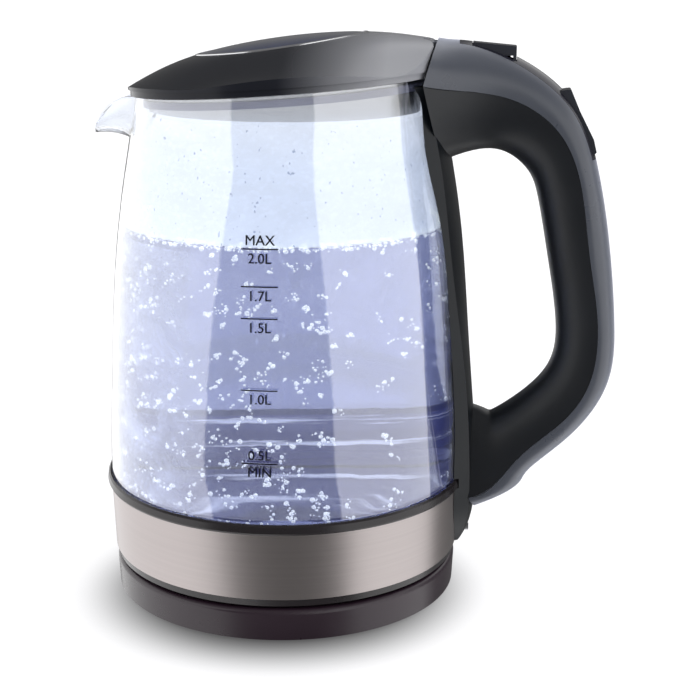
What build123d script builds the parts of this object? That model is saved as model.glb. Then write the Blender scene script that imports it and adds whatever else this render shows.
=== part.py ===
"""Glass electric kettle on a 360-degree power base, in millimetres.

The origin is on the kettle's axis, on the surface it stands on. +Z is up, +X points to the
handle and -X to the spout. The litre marks would be on the -Y side.
"""
from build123d import *
from math import asin, cos, degrees, radians, sin, tan
import os

os.makedirs("parts", exist_ok=True)

# ---- clearances ----
seat_gap = 0.2          # between pieces that are only laid or clipped together
running_gap = 0.3       # between pieces that move past each other
pin_gap = 0.05          # radial play of the lid on its hinge pin
saucer_gap = 0.3        # under the jug's foot ring when it stands on the base

# ---- power base ----
foot_height = 1.0
foot_inner_radius = 58.0
foot_outer_radius = 66.0
base_bottom_radius = 77.0
base_top_radius = 77.7
base_height = 14.9
base_wall = 2.4
base_edge = 2.2
base_cover_thickness = 2.0
connector_radius = 17.0
connector_height = 10.0      # above the top of the base
connector_flange = 3.0
groove_inner_radius = 11.0
groove_outer_radius = 14.4
groove_depth = 8.0
socket_bore_radius = 4.6
contact_wall = 0.6
base_screw_circle = 50.0
base_screw_count = 3
screw_radius = 1.3
screw_head_radius = 2.7
screw_head_height = 1.6
boss_radius = 3.6
inlet_radius = 4.4
inlet_bore_radius = 3.0
inlet_height = 7.6

# ---- jug underside and steel band ----
skirt_lift = 1.6             # from the base's top to the lower edge of the skirt
skirt_bottom_radius = 77.3
skirt_top_radius = 78.0
skirt_height = 3.2
band_bottom_radius = 78.2
band_top_radius = 79.4
band_height = 29.5
band_thickness = 0.8
trim_radius = 81.0
trim_height = 4.3
foot_ring_inner_radius = 62.0
foot_ring_outer_radius = 67.0
hub_wall = 3.0               # of the turning socket, round the base's connector
hub_roof = 3.5
collar_wall = 2.0
carrier_wall = 2.0
carrier_ledge = 6.0
jug_screw_circle = 70.5
jug_screw_count = 3
jug_boss_radius = 3.0

# ---- glass, floor and heater ----
glass_wall = 2.4
glass_foot_radius = 77.4
glass_foot_height = 9.7
glass_foot_drop = 9.2        # from the trim ring's lower edge down to the glass's lower edge
seal_thickness = 2.0
plate_thickness = 0.8
plate_flange_height = 4.0
spreader_radius = 62.0
spreader_thickness = 2.4
element_circle = 42.0
element_radius = 3.3
element_arc = 300.0
control_radius = 20.0
led_count = 6
led_radius = 1.5
led_board_inner_radius = 58.0
led_board_outer_radius = 67.0
led_board_thickness = 1.6
led_board_drop = 6.0         # from the heating plate's underside to the board's top

# ---- glass outline above the trim ring: radius, height ----
glass_outline = [(79.1, 53.5), (77.8, 92.4), (73.8, 154.0), (69.6, 184.8), (65.1, 211.8), (62.6, 232.0)]
rim_height = 224.6           # of the glass's rim on the kettle's axis
rim_tilt = 4.2               # the rim rises towards the handle
spout_rim = [(-64.0, 219.9), (-72.2, 217.4), (-76.7, 214.5), (-80.9, 209.3), (-83.0, 204.2)]

# ---- lid ----
lid_radius = 66.5
lid_wall = 2.2
lid_lip_height = 2.6
lid_lip_inset = 1.0
cup_radius = 58.5
cup_bottom = 214.5
cup_wall = 0.6
cup_floor_holes = 6
lid_seal_radius = 60.3
lid_seal_height = 3.0
insert_radius = 35.6
insert_centre = -0.8
insert_thickness = 1.2
insert_trim_width = 1.4
hinge_x = 62.1
hinge_z = 241.8
hinge_pin_radius = 1.0
knuckle_radius = 1.9
knuckle_inner = 4.5          # half the width of the lid's middle knuckle
ear_width = 3.6
lid_edge_round = 2.4
catch_thickness = 1.0

# ---- gap between lid and handle ----
gap_foot_x = 60.3
gap_foot_z = 226.6
gap_tilt = 15.6              # from upright
gap_width = 0.7

# ---- handle ----
shell_wall = 2.4
parting_gap = 0.2
front_wall = 2.6
inlay_half_width = 7.5
inlay_thickness = 1.4
inlay_start_x = 75.0
inlay_end_z = 195.0
spine_flare = 0.55           # how much the strip widens towards the glass

# ---- lid release ----
button_front_x = 80.6
button_back_x = 98.9
button_half_width = 6.0
button_front_z = 243.4
button_back_z = 241.8
button_floor_z = 238.0
button_travel = 3.0
slider_half_width = 4.0
slider_bottom_z = 229.6
slider_height = 4.9
slider_back_x = 88.6
tray_thickness = 2.0
button_spring_radius = 1.8
button_spring_wire = 0.5
button_spring_turns = 4

# ---- power switch ----
switch_pivot = (122.5, 208.7)
switch_reach = 15.6
switch_half_width = 5.4
switch_axle_radius = 1.5
wire_radius = 2.0
wire_route = [(110.0, 196.4), (115.5, 187.0), (122.0, 168.0), (126.5, 145.0), (128.8, 122.0), (125.8, 102.0),
              (115.5, 86.5), (101.0, 73.5), (89.5, 66.0)]
switch_outline = [(116.5, 224.4), (122.2, 224.3), (126.2, 215.4), (132.6, 203.4), (135.0, 194.0),
                  (129.0, 194.0), (126.6, 200.5), (120.6, 212.0), (114.5, 221.0)]
switch_boss_radius = 3.2
steam_switch_centre = (109.5, 203.0)
steam_switch_size = (10.0, 11.0)

# ---- lid sections across the kettle: x, then (y, z) from the crown out to the flank ----
lid_sections = [
    (-72.0, [(0, 219.3), (32, 218.8), (54, 217.4), (70, 215.3)]),
    (-40.0, [(0, 235.9), (26, 233.9), (43, 229.3), (70, 220.6)]),
    (-5.0, [(0, 243.6), (36, 240.7), (50, 235.6), (70, 229.8)]),
    (30.0, [(0, 246.7), (33, 243.5), (46, 238.2), (70, 229.5)]),
    (52.0, [(0, 245.9), (24, 242.6), (34.5, 236.6), (51.5, 225.6)]),
    (70.0, [(0, 243.6), (17, 240.7), (25, 234.5), (36, 222.0)]),
]

# ---- handle, as stations along it: parting line, crown and grip side as (x, z), and half-width ----
handle_stations = [
    # parting line      crown             grip side        half-width
    ((75.6, 224.4), (78.2, 243.8), (81.5, 197.6), 20.5),
    ((90.9, 222.3), (93.6, 239.8), (91.5, 198.4), 15.5),
    ((104.0, 217.7), (109.6, 231.4), (98.8, 195.6), 13.3),
    ((117.0, 207.6), (124.9, 216.8), (105.6, 189.3), 12.6),
    ((127.0, 187.5), (135.4, 190.2), (110.0, 178.5), 12.3),
    ((132.6, 155.0), (142.1, 155.2), (115.6, 150.5), 12.2),
    ((137.6, 124.0), (145.6, 122.5), (120.1, 120.5), 12.2),
    ((135.3, 98.5), (143.6, 95.2), (117.0, 103.0), 12.4),
    ((123.5, 79.8), (128.6, 71.4), (106.0, 90.4), 12.8),
    ((105.0, 62.4), (109.7, 53.4), (93.5, 81.5), 13.3),
]
handle_front_half_width = 28.0
handle_front_height = 18.9
spine_front_grip = (69.0, 193.0)
handle_end_parting = (84.0, 43.6)
handle_end_crown = (87.4, 37.0)
handle_end_grip = (84.0, 84.0)
handle_end_half_width = 13.4

# ---- strip against the glass, as levels: height, ridge x, ridge half-width, crown x ----
spine_levels = [
    (226.2, 62.6, 25.0, 64.5),
    (205.0, 66.6, 21.6, 70.6),
    (173.0, 71.8, 19.8, 76.4),
    (143.0, 75.4, 17.6, 79.8),
    (110.0, 80.0, 14.8, 82.5),
    (80.0, 83.0, 12.0, 85.2),
    (52.0, 84.3, 13.6, 86.8),
    (34.0, 83.6, 10.2, 85.6),
    (20.0, 79.4, 5.0, 80.4),
]
spine_depth = 16.0

# ---- lesser sizes ----
button_wall = 1.3
button_spring_x = 94.2
cam_half_width = 1.5
cam_play = 0.42
handle_screw_radius = 1.6
handle_screw_head = 3.0
handle_screw_length = 8.0
handle_screw_heights = (25.0, 32.5)
lid_rear_block = 6.5
cup_flange_lift = 0.4
cup_hole_radius = 2.5
lid_seal_drop = 2.0
trim_proud = 0.3
connector_flange_height = 2.4
foot_recess = 1.0
inlet_length = 9.0
hub_rim = 1.6
trim_skirt = 3.0
element_cold_end = 8.0
control_block_width = 26.0
led_post_radius = 2.0
led_post_circle = 63.0
led_post_count = 3
spout_open_z = 232.0
spout_sections = [(-52.0, 27.0, 186.0), (-66.0, 17.5, 200.0), (-75.0, 10.0, 202.7), (-83.2, 3.0, 202.6)]


def gap_x(height, shift=0.0):
    """X of the slanted gap's lid side at a height, moved rearwards by shift."""
    return gap_foot_x + (height - gap_foot_z) * tan(radians(gap_tilt)) + shift / cos(radians(gap_tilt))


# ---- heights that follow from the sizes above ----
base_underside = foot_height
base_inner_top = base_height - base_wall
base_cover_top = base_underside + base_cover_thickness
inlet_outer_end = base_top_radius + 1.5
connector_top = base_height + connector_height
skirt_bottom = base_height + skirt_lift
band_bottom = skirt_bottom + skirt_height
band_top = band_bottom + band_height
trim_top = band_top + trim_height
glass_bottom = band_top - glass_foot_drop
seal_bottom = glass_bottom - seal_thickness
plate_top = glass_bottom + plate_thickness
plate_radius = glass_foot_radius - glass_wall - seat_gap
spreader_bottom = glass_bottom - spreader_thickness
element_height = spreader_bottom - element_radius
hub_top = connector_top + running_gap + hub_roof
control_bottom = hub_top + running_gap
led_board_top = glass_bottom - led_board_drop
band_inner_radius = band_bottom_radius - band_thickness
carrier_radius = band_inner_radius - seat_gap
carrier_bottom = band_bottom + seat_gap
trim_skirt_radius = band_top_radius - band_thickness - seat_gap
socket_radius = connector_radius + running_gap
hub_radius = socket_radius + hub_wall
tray_top = slider_bottom_z - running_gap

rim_plane = Plane(origin=(0, 0, rim_height), z_dir=(-sin(radians(rim_tilt)), 0, cos(radians(rim_tilt))))
lid_plane = rim_plane.offset(2 * seat_gap)
gap_direction = (sin(radians(gap_tilt)), 0, cos(radians(gap_tilt)))
gap_normal = (cos(radians(gap_tilt)), 0, -sin(radians(gap_tilt)))


def side_plane(x):
    """Upright plane across the kettle at x: its axes are Y and Z."""
    return Plane(origin=(x, 0, 0), x_dir=(0, 1, 0), z_dir=(1, 0, 0))


def behind_gap(shift):
    """Everything on the handle's side of the gap plane moved rearwards by shift."""
    start = (gap_x(gap_foot_z, shift), 0, gap_foot_z)
    plane = Plane(origin=start, x_dir=(0, 1, 0), z_dir=gap_normal)
    with BuildPart(mode=Mode.PRIVATE) as side:
        with BuildSketch(plane):
            Rectangle(300, 300)
        extrude(amount=200)
    return side.part


def turn(*outline, mode=Mode.ADD):
    """Revolve a closed outline of (radius, height) points round the kettle's axis into the open part."""
    with BuildSketch(Plane.XZ) as profile:
        with BuildLine():
            Polyline(*outline, close=True)
        make_face()
    revolve(profile.sketch, axis=Axis.Z, mode=mode)


def ring(inner, outer, bottom, top, mode=Mode.ADD):
    """Add or cut a plain ring between two radii and two heights in the open part."""
    turn((inner, bottom), (outer, bottom), (outer, top), (inner, top), mode=mode)


def posts(radius, circle, count, bottom, top, start=0.0, mode=Mode.ADD):
    """Add or cut round posts on a circle, between two heights, in the open part."""
    with BuildSketch(Plane.XY.offset(bottom)) as section:
        with PolarLocations(circle, count, start_angle=start):
            Circle(radius)
    extrude(section.sketch, amount=top - bottom, mode=mode)


def rods_out(radius, heights, start, end, mode=Mode.ADD):
    """Round rods along +X at several heights, between two distances from the kettle's axis."""
    with BuildSketch(Plane.YZ.offset(start)) as ends:
        with Locations(*[(0, height) for height in heights]):
            Circle(radius)
    extrude(ends.sketch, amount=end - start, mode=mode)


def save(part, name):
    """Label a finished piece and write its STEP file."""
    part.label = name
    export_step(part, f"parts/{name}.step")


# ==================== POWER BASE ====================

with BuildPart() as base_housing:
    turn((0, base_underside), (base_bottom_radius, base_underside), (base_top_radius, base_height), (0, base_height))
    fillet(base_housing.edges().group_by(Axis.Z)[-1], radius=base_edge)
    ring(0, base_bottom_radius - base_wall, base_underside, base_inner_top, mode=Mode.SUBTRACT)
    ring(0, connector_radius + seat_gap, base_inner_top, base_height, mode=Mode.SUBTRACT)
    posts(boss_radius, base_screw_circle, base_screw_count, base_cover_top, base_inner_top)
    posts(screw_radius, base_screw_circle, base_screw_count, base_cover_top, base_inner_top - 1, mode=Mode.SUBTRACT)
    ring(connector_radius + connector_flange + seat_gap, connector_radius + connector_flange + base_wall,
         base_inner_top - connector_flange_height, base_inner_top)
    with BuildSketch(Plane.XZ.offset(-base_bottom_radius + 2 * base_wall)):
        with Locations((0, inlet_height)):
            Circle(inlet_radius + seat_gap / 2)
    extrude(amount=-4 * base_wall, mode=Mode.SUBTRACT)
save(base_housing.part, "base_housing")

with BuildPart() as base_cover:
    ring(0, base_bottom_radius - base_wall - seat_gap, base_underside, base_cover_top)
    ring(foot_inner_radius - seat_gap, foot_outer_radius + seat_gap, base_underside, base_underside + foot_recess,
         mode=Mode.SUBTRACT)
    posts(screw_radius + seat_gap, base_screw_circle, base_screw_count, base_underside, base_cover_top,
          mode=Mode.SUBTRACT)
    posts(screw_head_radius + seat_gap, base_screw_circle, base_screw_count, base_underside,
          base_underside + screw_head_height, mode=Mode.SUBTRACT)
    ring(connector_radius - connector_flange, connector_radius, base_cover_top,
         base_inner_top - connector_flange_height - seat_gap)
save(base_cover.part, "base_cover")

with BuildPart() as base_foot_ring:
    ring(foot_inner_radius, foot_outer_radius, 0, base_underside + foot_recess)
    fillet(base_foot_ring.edges().group_by(Axis.Z)[0], radius=foot_height / 2)
save(base_foot_ring.part, "base_foot_ring")

with BuildPart() as base_screws:
    posts(screw_radius, base_screw_circle, base_screw_count, base_underside + 0.3, base_inner_top - 2)
    posts(screw_head_radius, base_screw_circle, base_screw_count, base_underside + 0.3,
          base_underside + screw_head_height)
save(base_screws.part, "base_screws")

with BuildPart() as base_connector:
    ring(0, connector_radius, base_inner_top - connector_flange_height, connector_top)
    ring(0, connector_radius + connector_flange, base_inner_top - connector_flange_height, base_inner_top)
    fillet(base_connector.edges().group_by(Axis.Z)[-1], radius=1.2)
    ring(groove_inner_radius, groove_outer_radius, connector_top - groove_depth, connector_top, mode=Mode.SUBTRACT)
    ring(0, socket_bore_radius, connector_top - groove_depth, connector_top, mode=Mode.SUBTRACT)
save(base_connector.part, "base_connector")

with BuildPart() as base_contacts:
    ring(socket_bore_radius - contact_wall, socket_bore_radius, connector_top - groove_depth, connector_top - 1.5)
    ring(groove_outer_radius - contact_wall, groove_outer_radius, connector_top - groove_depth, connector_top - 1.5)
save(base_contacts.part, "base_contacts")

with BuildPart() as cord_inlet:
    with BuildSketch(Plane.XZ.offset(-inlet_outer_end)):
        with Locations((0, inlet_height)):
            Circle(inlet_radius)
    extrude(amount=inlet_length)
    with BuildSketch(Plane.XZ.offset(-inlet_outer_end + inlet_length)):
        with Locations((0, inlet_height)):
            Rectangle(2 * inlet_radius + 4, 2 * inlet_radius - 1)
    extrude(amount=-2)
    with BuildSketch(Plane.XZ.offset(-inlet_outer_end)):
        with Locations((0, inlet_height)):
            Circle(inlet_bore_radius)
    extrude(amount=inlet_length, mode=Mode.SUBTRACT)
save(cord_inlet.part, "cord_inlet")

# ==================== TURNING SOCKET ====================

with BuildPart() as jug_connector:
    ring(0, hub_radius, skirt_bottom, hub_top)
    ring(0, socket_radius, skirt_bottom, connector_top + running_gap, mode=Mode.SUBTRACT)
    ring(hub_radius, hub_radius + hub_rim, hub_top - hub_roof, hub_top)
save(jug_connector.part, "jug_connector")

with BuildPart() as jug_contacts:
    ring(0, socket_bore_radius - contact_wall - 0.8, skirt_bottom + 0.6, connector_top + running_gap)
    ring(groove_inner_radius + 0.6, groove_outer_radius - contact_wall - 0.8, connector_top - groove_depth + 1.2,
         connector_top + running_gap)
save(jug_contacts.part, "jug_contacts")

# ==================== JUG UNDERSIDE, STEEL BAND AND HEATER ====================

with BuildPart() as bottom_cover:
    turn((hub_radius + running_gap, skirt_bottom + 1), (skirt_bottom_radius - 3, skirt_bottom + 1),
         (skirt_bottom_radius - 3, skirt_bottom), (skirt_bottom_radius, skirt_bottom),
         (skirt_top_radius, band_bottom), (hub_radius + running_gap, band_bottom))
    ring(foot_ring_inner_radius, foot_ring_outer_radius, base_height + saucer_gap, band_bottom)
    ring(hub_radius + running_gap, hub_radius + running_gap + collar_wall, skirt_bottom + 1,
         hub_top - hub_roof - running_gap)
    posts(jug_boss_radius, jug_screw_circle, jug_screw_count, band_bottom, carrier_bottom, 30)
    posts(led_post_radius, led_post_circle, led_post_count, band_bottom, led_board_top - led_board_thickness)
    posts(screw_radius + seat_gap, jug_screw_circle, jug_screw_count, skirt_bottom, carrier_bottom, 30,
          mode=Mode.SUBTRACT)
save(bottom_cover.part, "bottom_cover")

with BuildPart() as jug_screws:
    posts(screw_radius, jug_screw_circle, jug_screw_count, skirt_bottom + 1, seal_bottom - 2, 30)
    posts(screw_head_radius, jug_screw_circle, jug_screw_count, skirt_bottom + 1 - screw_head_height,
          skirt_bottom + 1, 30)
save(jug_screws.part, "jug_screws")

with BuildPart() as steel_band:
    turn((band_bottom_radius - band_thickness, band_bottom), (band_bottom_radius, band_bottom),
         (band_top_radius, band_top), (band_top_radius - band_thickness, band_top))
    rods_out(handle_screw_radius + seat_gap, handle_screw_heights, carrier_radius - seat_gap,
             band_top_radius + seat_gap, mode=Mode.SUBTRACT)
save(steel_band.part, "steel_band")

with BuildPart() as jug_carrier:
    ring(carrier_radius - carrier_wall, carrier_radius, carrier_bottom, seal_bottom)
    ring(carrier_radius - carrier_ledge, carrier_radius, seal_bottom - carrier_wall, seal_bottom)
    posts(jug_boss_radius, jug_screw_circle, jug_screw_count, carrier_bottom, seal_bottom, 30)
    posts(screw_radius, jug_screw_circle, jug_screw_count, carrier_bottom, seal_bottom - 1, 30, mode=Mode.SUBTRACT)
    rods_out(handle_screw_radius + seat_gap, handle_screw_heights, carrier_radius - 2 * carrier_wall,
             carrier_radius + seat_gap, mode=Mode.SUBTRACT)
save(jug_carrier.part, "jug_carrier")

with BuildPart() as trim_ring:
    turn((glass_foot_radius + seat_gap, band_top - trim_skirt), (trim_skirt_radius, band_top - trim_skirt),
         (trim_skirt_radius, band_top), (trim_radius - 0.4, band_top), (trim_radius, band_top + 0.8),
         (trim_radius - 0.3, trim_top - 0.8), (trim_radius - 1.0, trim_top),
         (glass_outline[0][0] + seat_gap, trim_top),
         (glass_foot_radius + seat_gap, glass_bottom + glass_foot_height))
save(trim_ring.part, "trim_ring")

with BuildPart() as glass_seal:
    ring(carrier_radius - carrier_ledge, carrier_radius, seal_bottom, glass_bottom)
save(glass_seal.part, "glass_seal")

with BuildPart() as heating_plate:
    ring(0, plate_radius, glass_bottom, plate_top)
    ring(plate_radius - plate_thickness, plate_radius, plate_top, plate_top + plate_flange_height)
save(heating_plate.part, "heating_plate")

with BuildPart() as heat_spreader:
    ring(0, spreader_radius, spreader_bottom, glass_bottom)
    fillet(heat_spreader.edges().group_by(Axis.Z)[0], radius=0.8)
save(heat_spreader.part, "heat_spreader")

with BuildPart() as heating_element:
    with BuildSketch(Plane.XZ):
        with Locations((element_circle, element_height)):
            Circle(element_radius)
    revolve(axis=Axis.Z, revolution_arc=element_arc)
    for end_angle in (0, -element_arc):
        turned = Plane.XZ.rotated((0, 0, -end_angle))
        with BuildSketch(turned):
            with Locations((element_circle, element_height)):
                Circle(element_radius / 2)
        extrude(amount=element_cold_end if end_angle == 0 else -element_cold_end)
save(heating_element.part, "heating_element")

with BuildPart() as control_unit:
    ring(0, control_radius, control_bottom, spreader_bottom)
    with BuildSketch(Plane.XY.offset(control_bottom)):
        with Locations((0, control_radius)):
            RectangleRounded(control_block_width, control_block_width / 2, 2)
    extrude(amount=spreader_bottom - control_bottom)
    ring(0, control_radius - 3, spreader_bottom - 1, spreader_bottom, mode=Mode.SUBTRACT)
save(control_unit.part, "control_unit")

with BuildPart() as led_board:
    ring(led_board_inner_radius, led_board_outer_radius, led_board_top - led_board_thickness, led_board_top)
save(led_board.part, "led_board")

with BuildPart() as led_lamps:
    posts(led_radius, led_post_circle, led_count, led_board_top, led_board_top + 3, 30)
    fillet(led_lamps.edges().group_by(Axis.Z)[-1], radius=led_radius * 0.8)
save(led_lamps.part, "led_lamps")

# ==================== GLASS JUG ====================

def glass_profile(inset, bottom):
    """Half outline of the jug, moved inwards by inset and closed along the axis."""
    wall = [(radius - inset, height) for radius, height in glass_outline]
    foot = glass_foot_radius - inset
    foot_top = glass_bottom + glass_foot_height
    with BuildLine() as outline:
        Polyline((0, bottom), (foot, bottom), (foot, foot_top), wall[0])
        Spline(*wall, tangents=((0, 1), (-0.16, 1)))
        Polyline(wall[-1], (0, wall[-1][1]), (0, bottom))
    make_face(outline.line.edges())


def spout_loft(inset):
    """Trough of the spout, moved inwards by inset, from inside the jug to the lip."""
    sections = []
    for x, half_width, floor in spout_sections:
        w = half_width - inset
        low = floor + inset
        with BuildSketch(side_plane(x)) as section:
            with BuildLine():
                Line((-w, low + w), (-w, spout_open_z))
                Line((-w, spout_open_z), (w, spout_open_z))
                Line((w, spout_open_z), (w, low + w))
                ThreePointArc((w, low + w), (0, low), (-w, low + w))
            make_face()
        sections.append(section.sketch)
    loft(sections)


with BuildPart() as glass_outer:
    with BuildSketch(Plane.XZ):
        glass_profile(0, glass_bottom)
    revolve(axis=Axis.Z)
    spout_loft(0)

with BuildPart() as glass_inner:
    with BuildSketch(Plane.XZ):
        glass_profile(glass_wall, glass_bottom - 1)
    revolve(axis=Axis.Z)
    spout_loft(glass_wall)

with BuildPart() as above_rim:
    rim_back = (90, rim_height + 90 * tan(radians(rim_tilt)))
    with BuildSketch(Plane.XZ):
        with BuildLine():
            Line(rim_back, spout_rim[0])
            Spline(*spout_rim, tangents=((-1, -tan(radians(rim_tilt))), (-0.2, -1)))
            Polyline(spout_rim[-1], (-100, spout_rim[-1][1]), (-100, 260), (90, 260), rim_back)
        make_face()
    extrude(amount=100, both=True)

with BuildPart() as glass_jug:
    add(glass_outer.part)
    add(glass_inner.part, mode=Mode.SUBTRACT)
    add(above_rim.part, mode=Mode.SUBTRACT)
save(glass_jug.part, "glass_jug")

with BuildPart() as jug_envelope:
    wall = [(glass_outline[0][0] + seat_gap, trim_top + seat_gap)]
    wall += [(radius + seat_gap, height) for radius, height in glass_outline[1:]]
    with BuildSketch(Plane.XZ):
        with BuildLine():
            Polyline((0, base_height), (skirt_top_radius + seat_gap, base_height),
                     (skirt_top_radius + seat_gap, band_bottom), (band_top_radius + seat_gap, band_top),
                     (trim_radius + seat_gap, band_top), (trim_radius + seat_gap, trim_top + seat_gap), wall[0])
            Spline(*wall, tangents=((0, 1), (-0.16, 1)))
            Polyline(wall[-1], (0, wall[-1][1]), (0, base_height))
        make_face()
    revolve(axis=Axis.Z)

# ==================== HANDLE ====================

def arch(parting, tip, half_width, inset, lift):
    """Half-ellipse section across the handle, from its parting line to its crown or grip side.

    inset thins it all round and lift moves its straight side towards the tip.
    """
    reach = ((tip[0] - parting[0]) ** 2 + (tip[1] - parting[1]) ** 2) ** 0.5
    outward = Vector((tip[0] - parting[0]) / reach, 0, (tip[1] - parting[1]) / reach)
    foot = Vector(parting[0], 0, parting[1]) + outward * lift
    with BuildSketch(Plane(origin=foot, x_dir=(0, 1, 0), z_dir=Vector(0, 1, 0).cross(outward))) as section:
        with BuildLine():
            EllipticalCenterArc((0, 0), half_width - inset, reach - inset - lift, start_angle=0, arc_size=180)
            Line((inset - half_width, 0), (half_width - inset, 0))
        make_face()
    return section.sketch


gap_front = (gap_x(gap_foot_z, gap_width), gap_foot_z)
gap_crown = (gap_front[0] + handle_front_height * gap_direction[0],
             gap_front[1] + handle_front_height * gap_direction[2])


def crown_side(inset, lift):
    """Outer half of the handle, thinned by inset, its parting face moved outwards by lift."""
    with BuildPart(mode=Mode.PRIVATE) as half:
        sections = [arch(gap_front, gap_crown, handle_front_half_width, inset, lift)]
        sections += [arch(parting, crown, width, inset, lift) for parting, crown, grip, width in handle_stations]
        sections += [arch(handle_end_parting, handle_end_crown, handle_end_half_width, inset, lift)]
        loft(sections)
    return half.part


def grip_side(inset, lift):
    """Inner half of the handle, thinned by inset, its parting face moved inwards by lift."""
    with BuildPart(mode=Mode.PRIVATE) as half:
        sections = [arch(gap_front, spine_front_grip, handle_front_half_width, inset, lift)]
        sections += [arch(parting, grip, width, inset, lift) for parting, crown, grip, width in handle_stations]
        sections += [arch(handle_end_parting, handle_end_grip, handle_end_half_width, inset, lift)]
        loft(sections)
    return half.part


crown_solid = crown_side(0, 0)
crown_cavity = crown_side(shell_wall, -parting_gap)
crown_below_inlay = crown_side(inlay_thickness, -parting_gap)
grip_solid = grip_side(0, parting_gap)
grip_cavity = grip_side(shell_wall, 0)


def shared(first, *others):
    """What all the solids have in common."""
    with BuildPart(mode=Mode.PRIVATE) as common:
        add(first)
        for other in others:
            add(other, mode=Mode.INTERSECT)
    return common.part


def without(first, *others):
    """The first solid less the others."""
    with BuildPart(mode=Mode.PRIVATE) as rest:
        add(first)
        for other in others:
            add(other, mode=Mode.SUBTRACT)
    return rest.part


def slab_across(half_width, *outline):
    """Solid of an (x, z) outline, as wide as twice half_width across the kettle."""
    with BuildPart(mode=Mode.PRIVATE) as slab:
        with BuildSketch(Plane.XZ) as side:
            with BuildLine():
                Polyline(*outline, close=True)
            make_face()
        extrude(side.sketch, amount=half_width, both=True)
    return slab.part


def rod_across(centre, radius, half_width, away=0.0):
    """Round rod across the kettle at an (x, z) centre, or a pair of them that start away from the middle."""
    with BuildPart(mode=Mode.PRIVATE) as rod:
        for side in ((1,) if away == 0 else (1, -1)):
            with BuildSketch(Plane.XZ.offset(side * away)) as section:
                with Locations(centre):
                    Circle(radius)
            if away == 0:
                extrude(section.sketch, amount=half_width, both=True)
            else:
                extrude(section.sketch, amount=side * (half_width - away))
    return rod.part


hinge = (hinge_x, hinge_z)
ear_start = knuckle_inner + running_gap
ear_end = ear_start + ear_width
button_outline = [(button_front_x, button_front_z), (button_back_x, button_back_z),
                  (button_back_x, tray_top + button_travel + running_gap),
                  (button_back_x - button_wall, tray_top + button_travel + running_gap),
                  (button_back_x - button_wall, button_floor_z), (button_front_x, button_floor_z)]
slider_top = slider_bottom_z + slider_height
cam_foot = tray_top + button_travel + running_gap
cam_front = button_front_x + 0.9
cam_back = cam_front + 2.5

with BuildPart() as handle_spine:
    levels = []
    for height, ridge_x, ridge_width, crown_x in spine_levels:
        back_x = ridge_x - spine_depth
        back_width = ridge_width + spine_flare * spine_depth
        with BuildSketch(Plane.XY.offset(height)) as level:
            with BuildLine():
                Line((back_x, -back_width), (ridge_x, -ridge_width))
                ThreePointArc((ridge_x, -ridge_width), (crown_x, 0), (ridge_x, ridge_width))
                Line((ridge_x, ridge_width), (back_x, back_width))
                Line((back_x, back_width), (back_x, -back_width))
            make_face()
        levels.append(level.sketch)
    loft(levels)
    add(jug_envelope.part, mode=Mode.SUBTRACT)
    add(crown_side(0, -parting_gap), mode=Mode.SUBTRACT)
spine_blank = handle_spine.part
with BuildPart() as spine_bored:
    add(spine_blank)
    rods_out(handle_screw_radius, handle_screw_heights, carrier_radius, carrier_radius + handle_screw_length,
             mode=Mode.SUBTRACT)
save(spine_bored.part, "handle_spine")

with BuildPart() as handle_outer_shell:
    add(crown_solid)
    add(shared(crown_cavity, behind_gap(gap_width + front_wall)), mode=Mode.SUBTRACT)
    add(spine_blank, mode=Mode.SUBTRACT)
    add(jug_envelope.part, mode=Mode.SUBTRACT)
    for side in (1, -1):
        with BuildSketch(Plane.XZ.offset(side * ear_start)):
            with Locations(hinge):
                Circle(knuckle_radius)
            with Locations((hinge_x + 3, hinge_z)):
                Rectangle(6, 2 * knuckle_radius - 0.6)
        extrude(amount=side * ear_width)
    add(rod_across(hinge, hinge_pin_radius, ear_end + 1), mode=Mode.SUBTRACT)
    add(slab_across(slider_half_width + running_gap, (hinge_x - 5, tray_top), (hinge_x + 15, tray_top),
                    (hinge_x + 15, slider_top + running_gap), (hinge_x - 5, slider_top + running_gap)),
        mode=Mode.SUBTRACT)
    add(without(slab_across(inlay_half_width + parting_gap / 2, (inlay_start_x, gap_foot_z), (inlay_start_x, 260),
                            (160, 260), (160, inlay_end_z), (120, inlay_end_z)), crown_below_inlay),
        mode=Mode.SUBTRACT)
    add(slab_across(button_half_width + running_gap, (button_front_x - running_gap, 230),
                    (button_back_x + running_gap, 230), (button_back_x + running_gap, 260),
                    (button_front_x - running_gap, 260)), mode=Mode.SUBTRACT)
    add(rod_across(switch_pivot, switch_reach + running_gap, switch_half_width + running_gap), mode=Mode.SUBTRACT)
save(handle_outer_shell.part, "handle_outer_shell")

with BuildPart() as handle_inlay:
    add(crown_solid)
    add(slab_across(inlay_half_width, (inlay_start_x + parting_gap / 2, gap_foot_z),
                    (inlay_start_x + parting_gap / 2, 260), (160, 260), (160, inlay_end_z + parting_gap / 2),
                    (120, inlay_end_z + parting_gap / 2)), mode=Mode.INTERSECT)
    add(crown_below_inlay, mode=Mode.SUBTRACT)
    add(slab_across(button_half_width + running_gap, (button_front_x - running_gap, 230),
                    (button_back_x + running_gap, 230), (button_back_x + running_gap, 260),
                    (button_front_x - running_gap, 260)), mode=Mode.SUBTRACT)
    add(rod_across(switch_pivot, switch_reach + running_gap, switch_half_width + running_gap), mode=Mode.SUBTRACT)
save(handle_inlay.part, "handle_inlay")

with BuildPart() as handle_inner_shell:
    add(grip_solid)
    add(grip_cavity, mode=Mode.SUBTRACT)
    add(spine_blank, mode=Mode.SUBTRACT)
    add(jug_envelope.part, mode=Mode.SUBTRACT)
save(handle_inner_shell.part, "handle_inner_shell")

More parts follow.
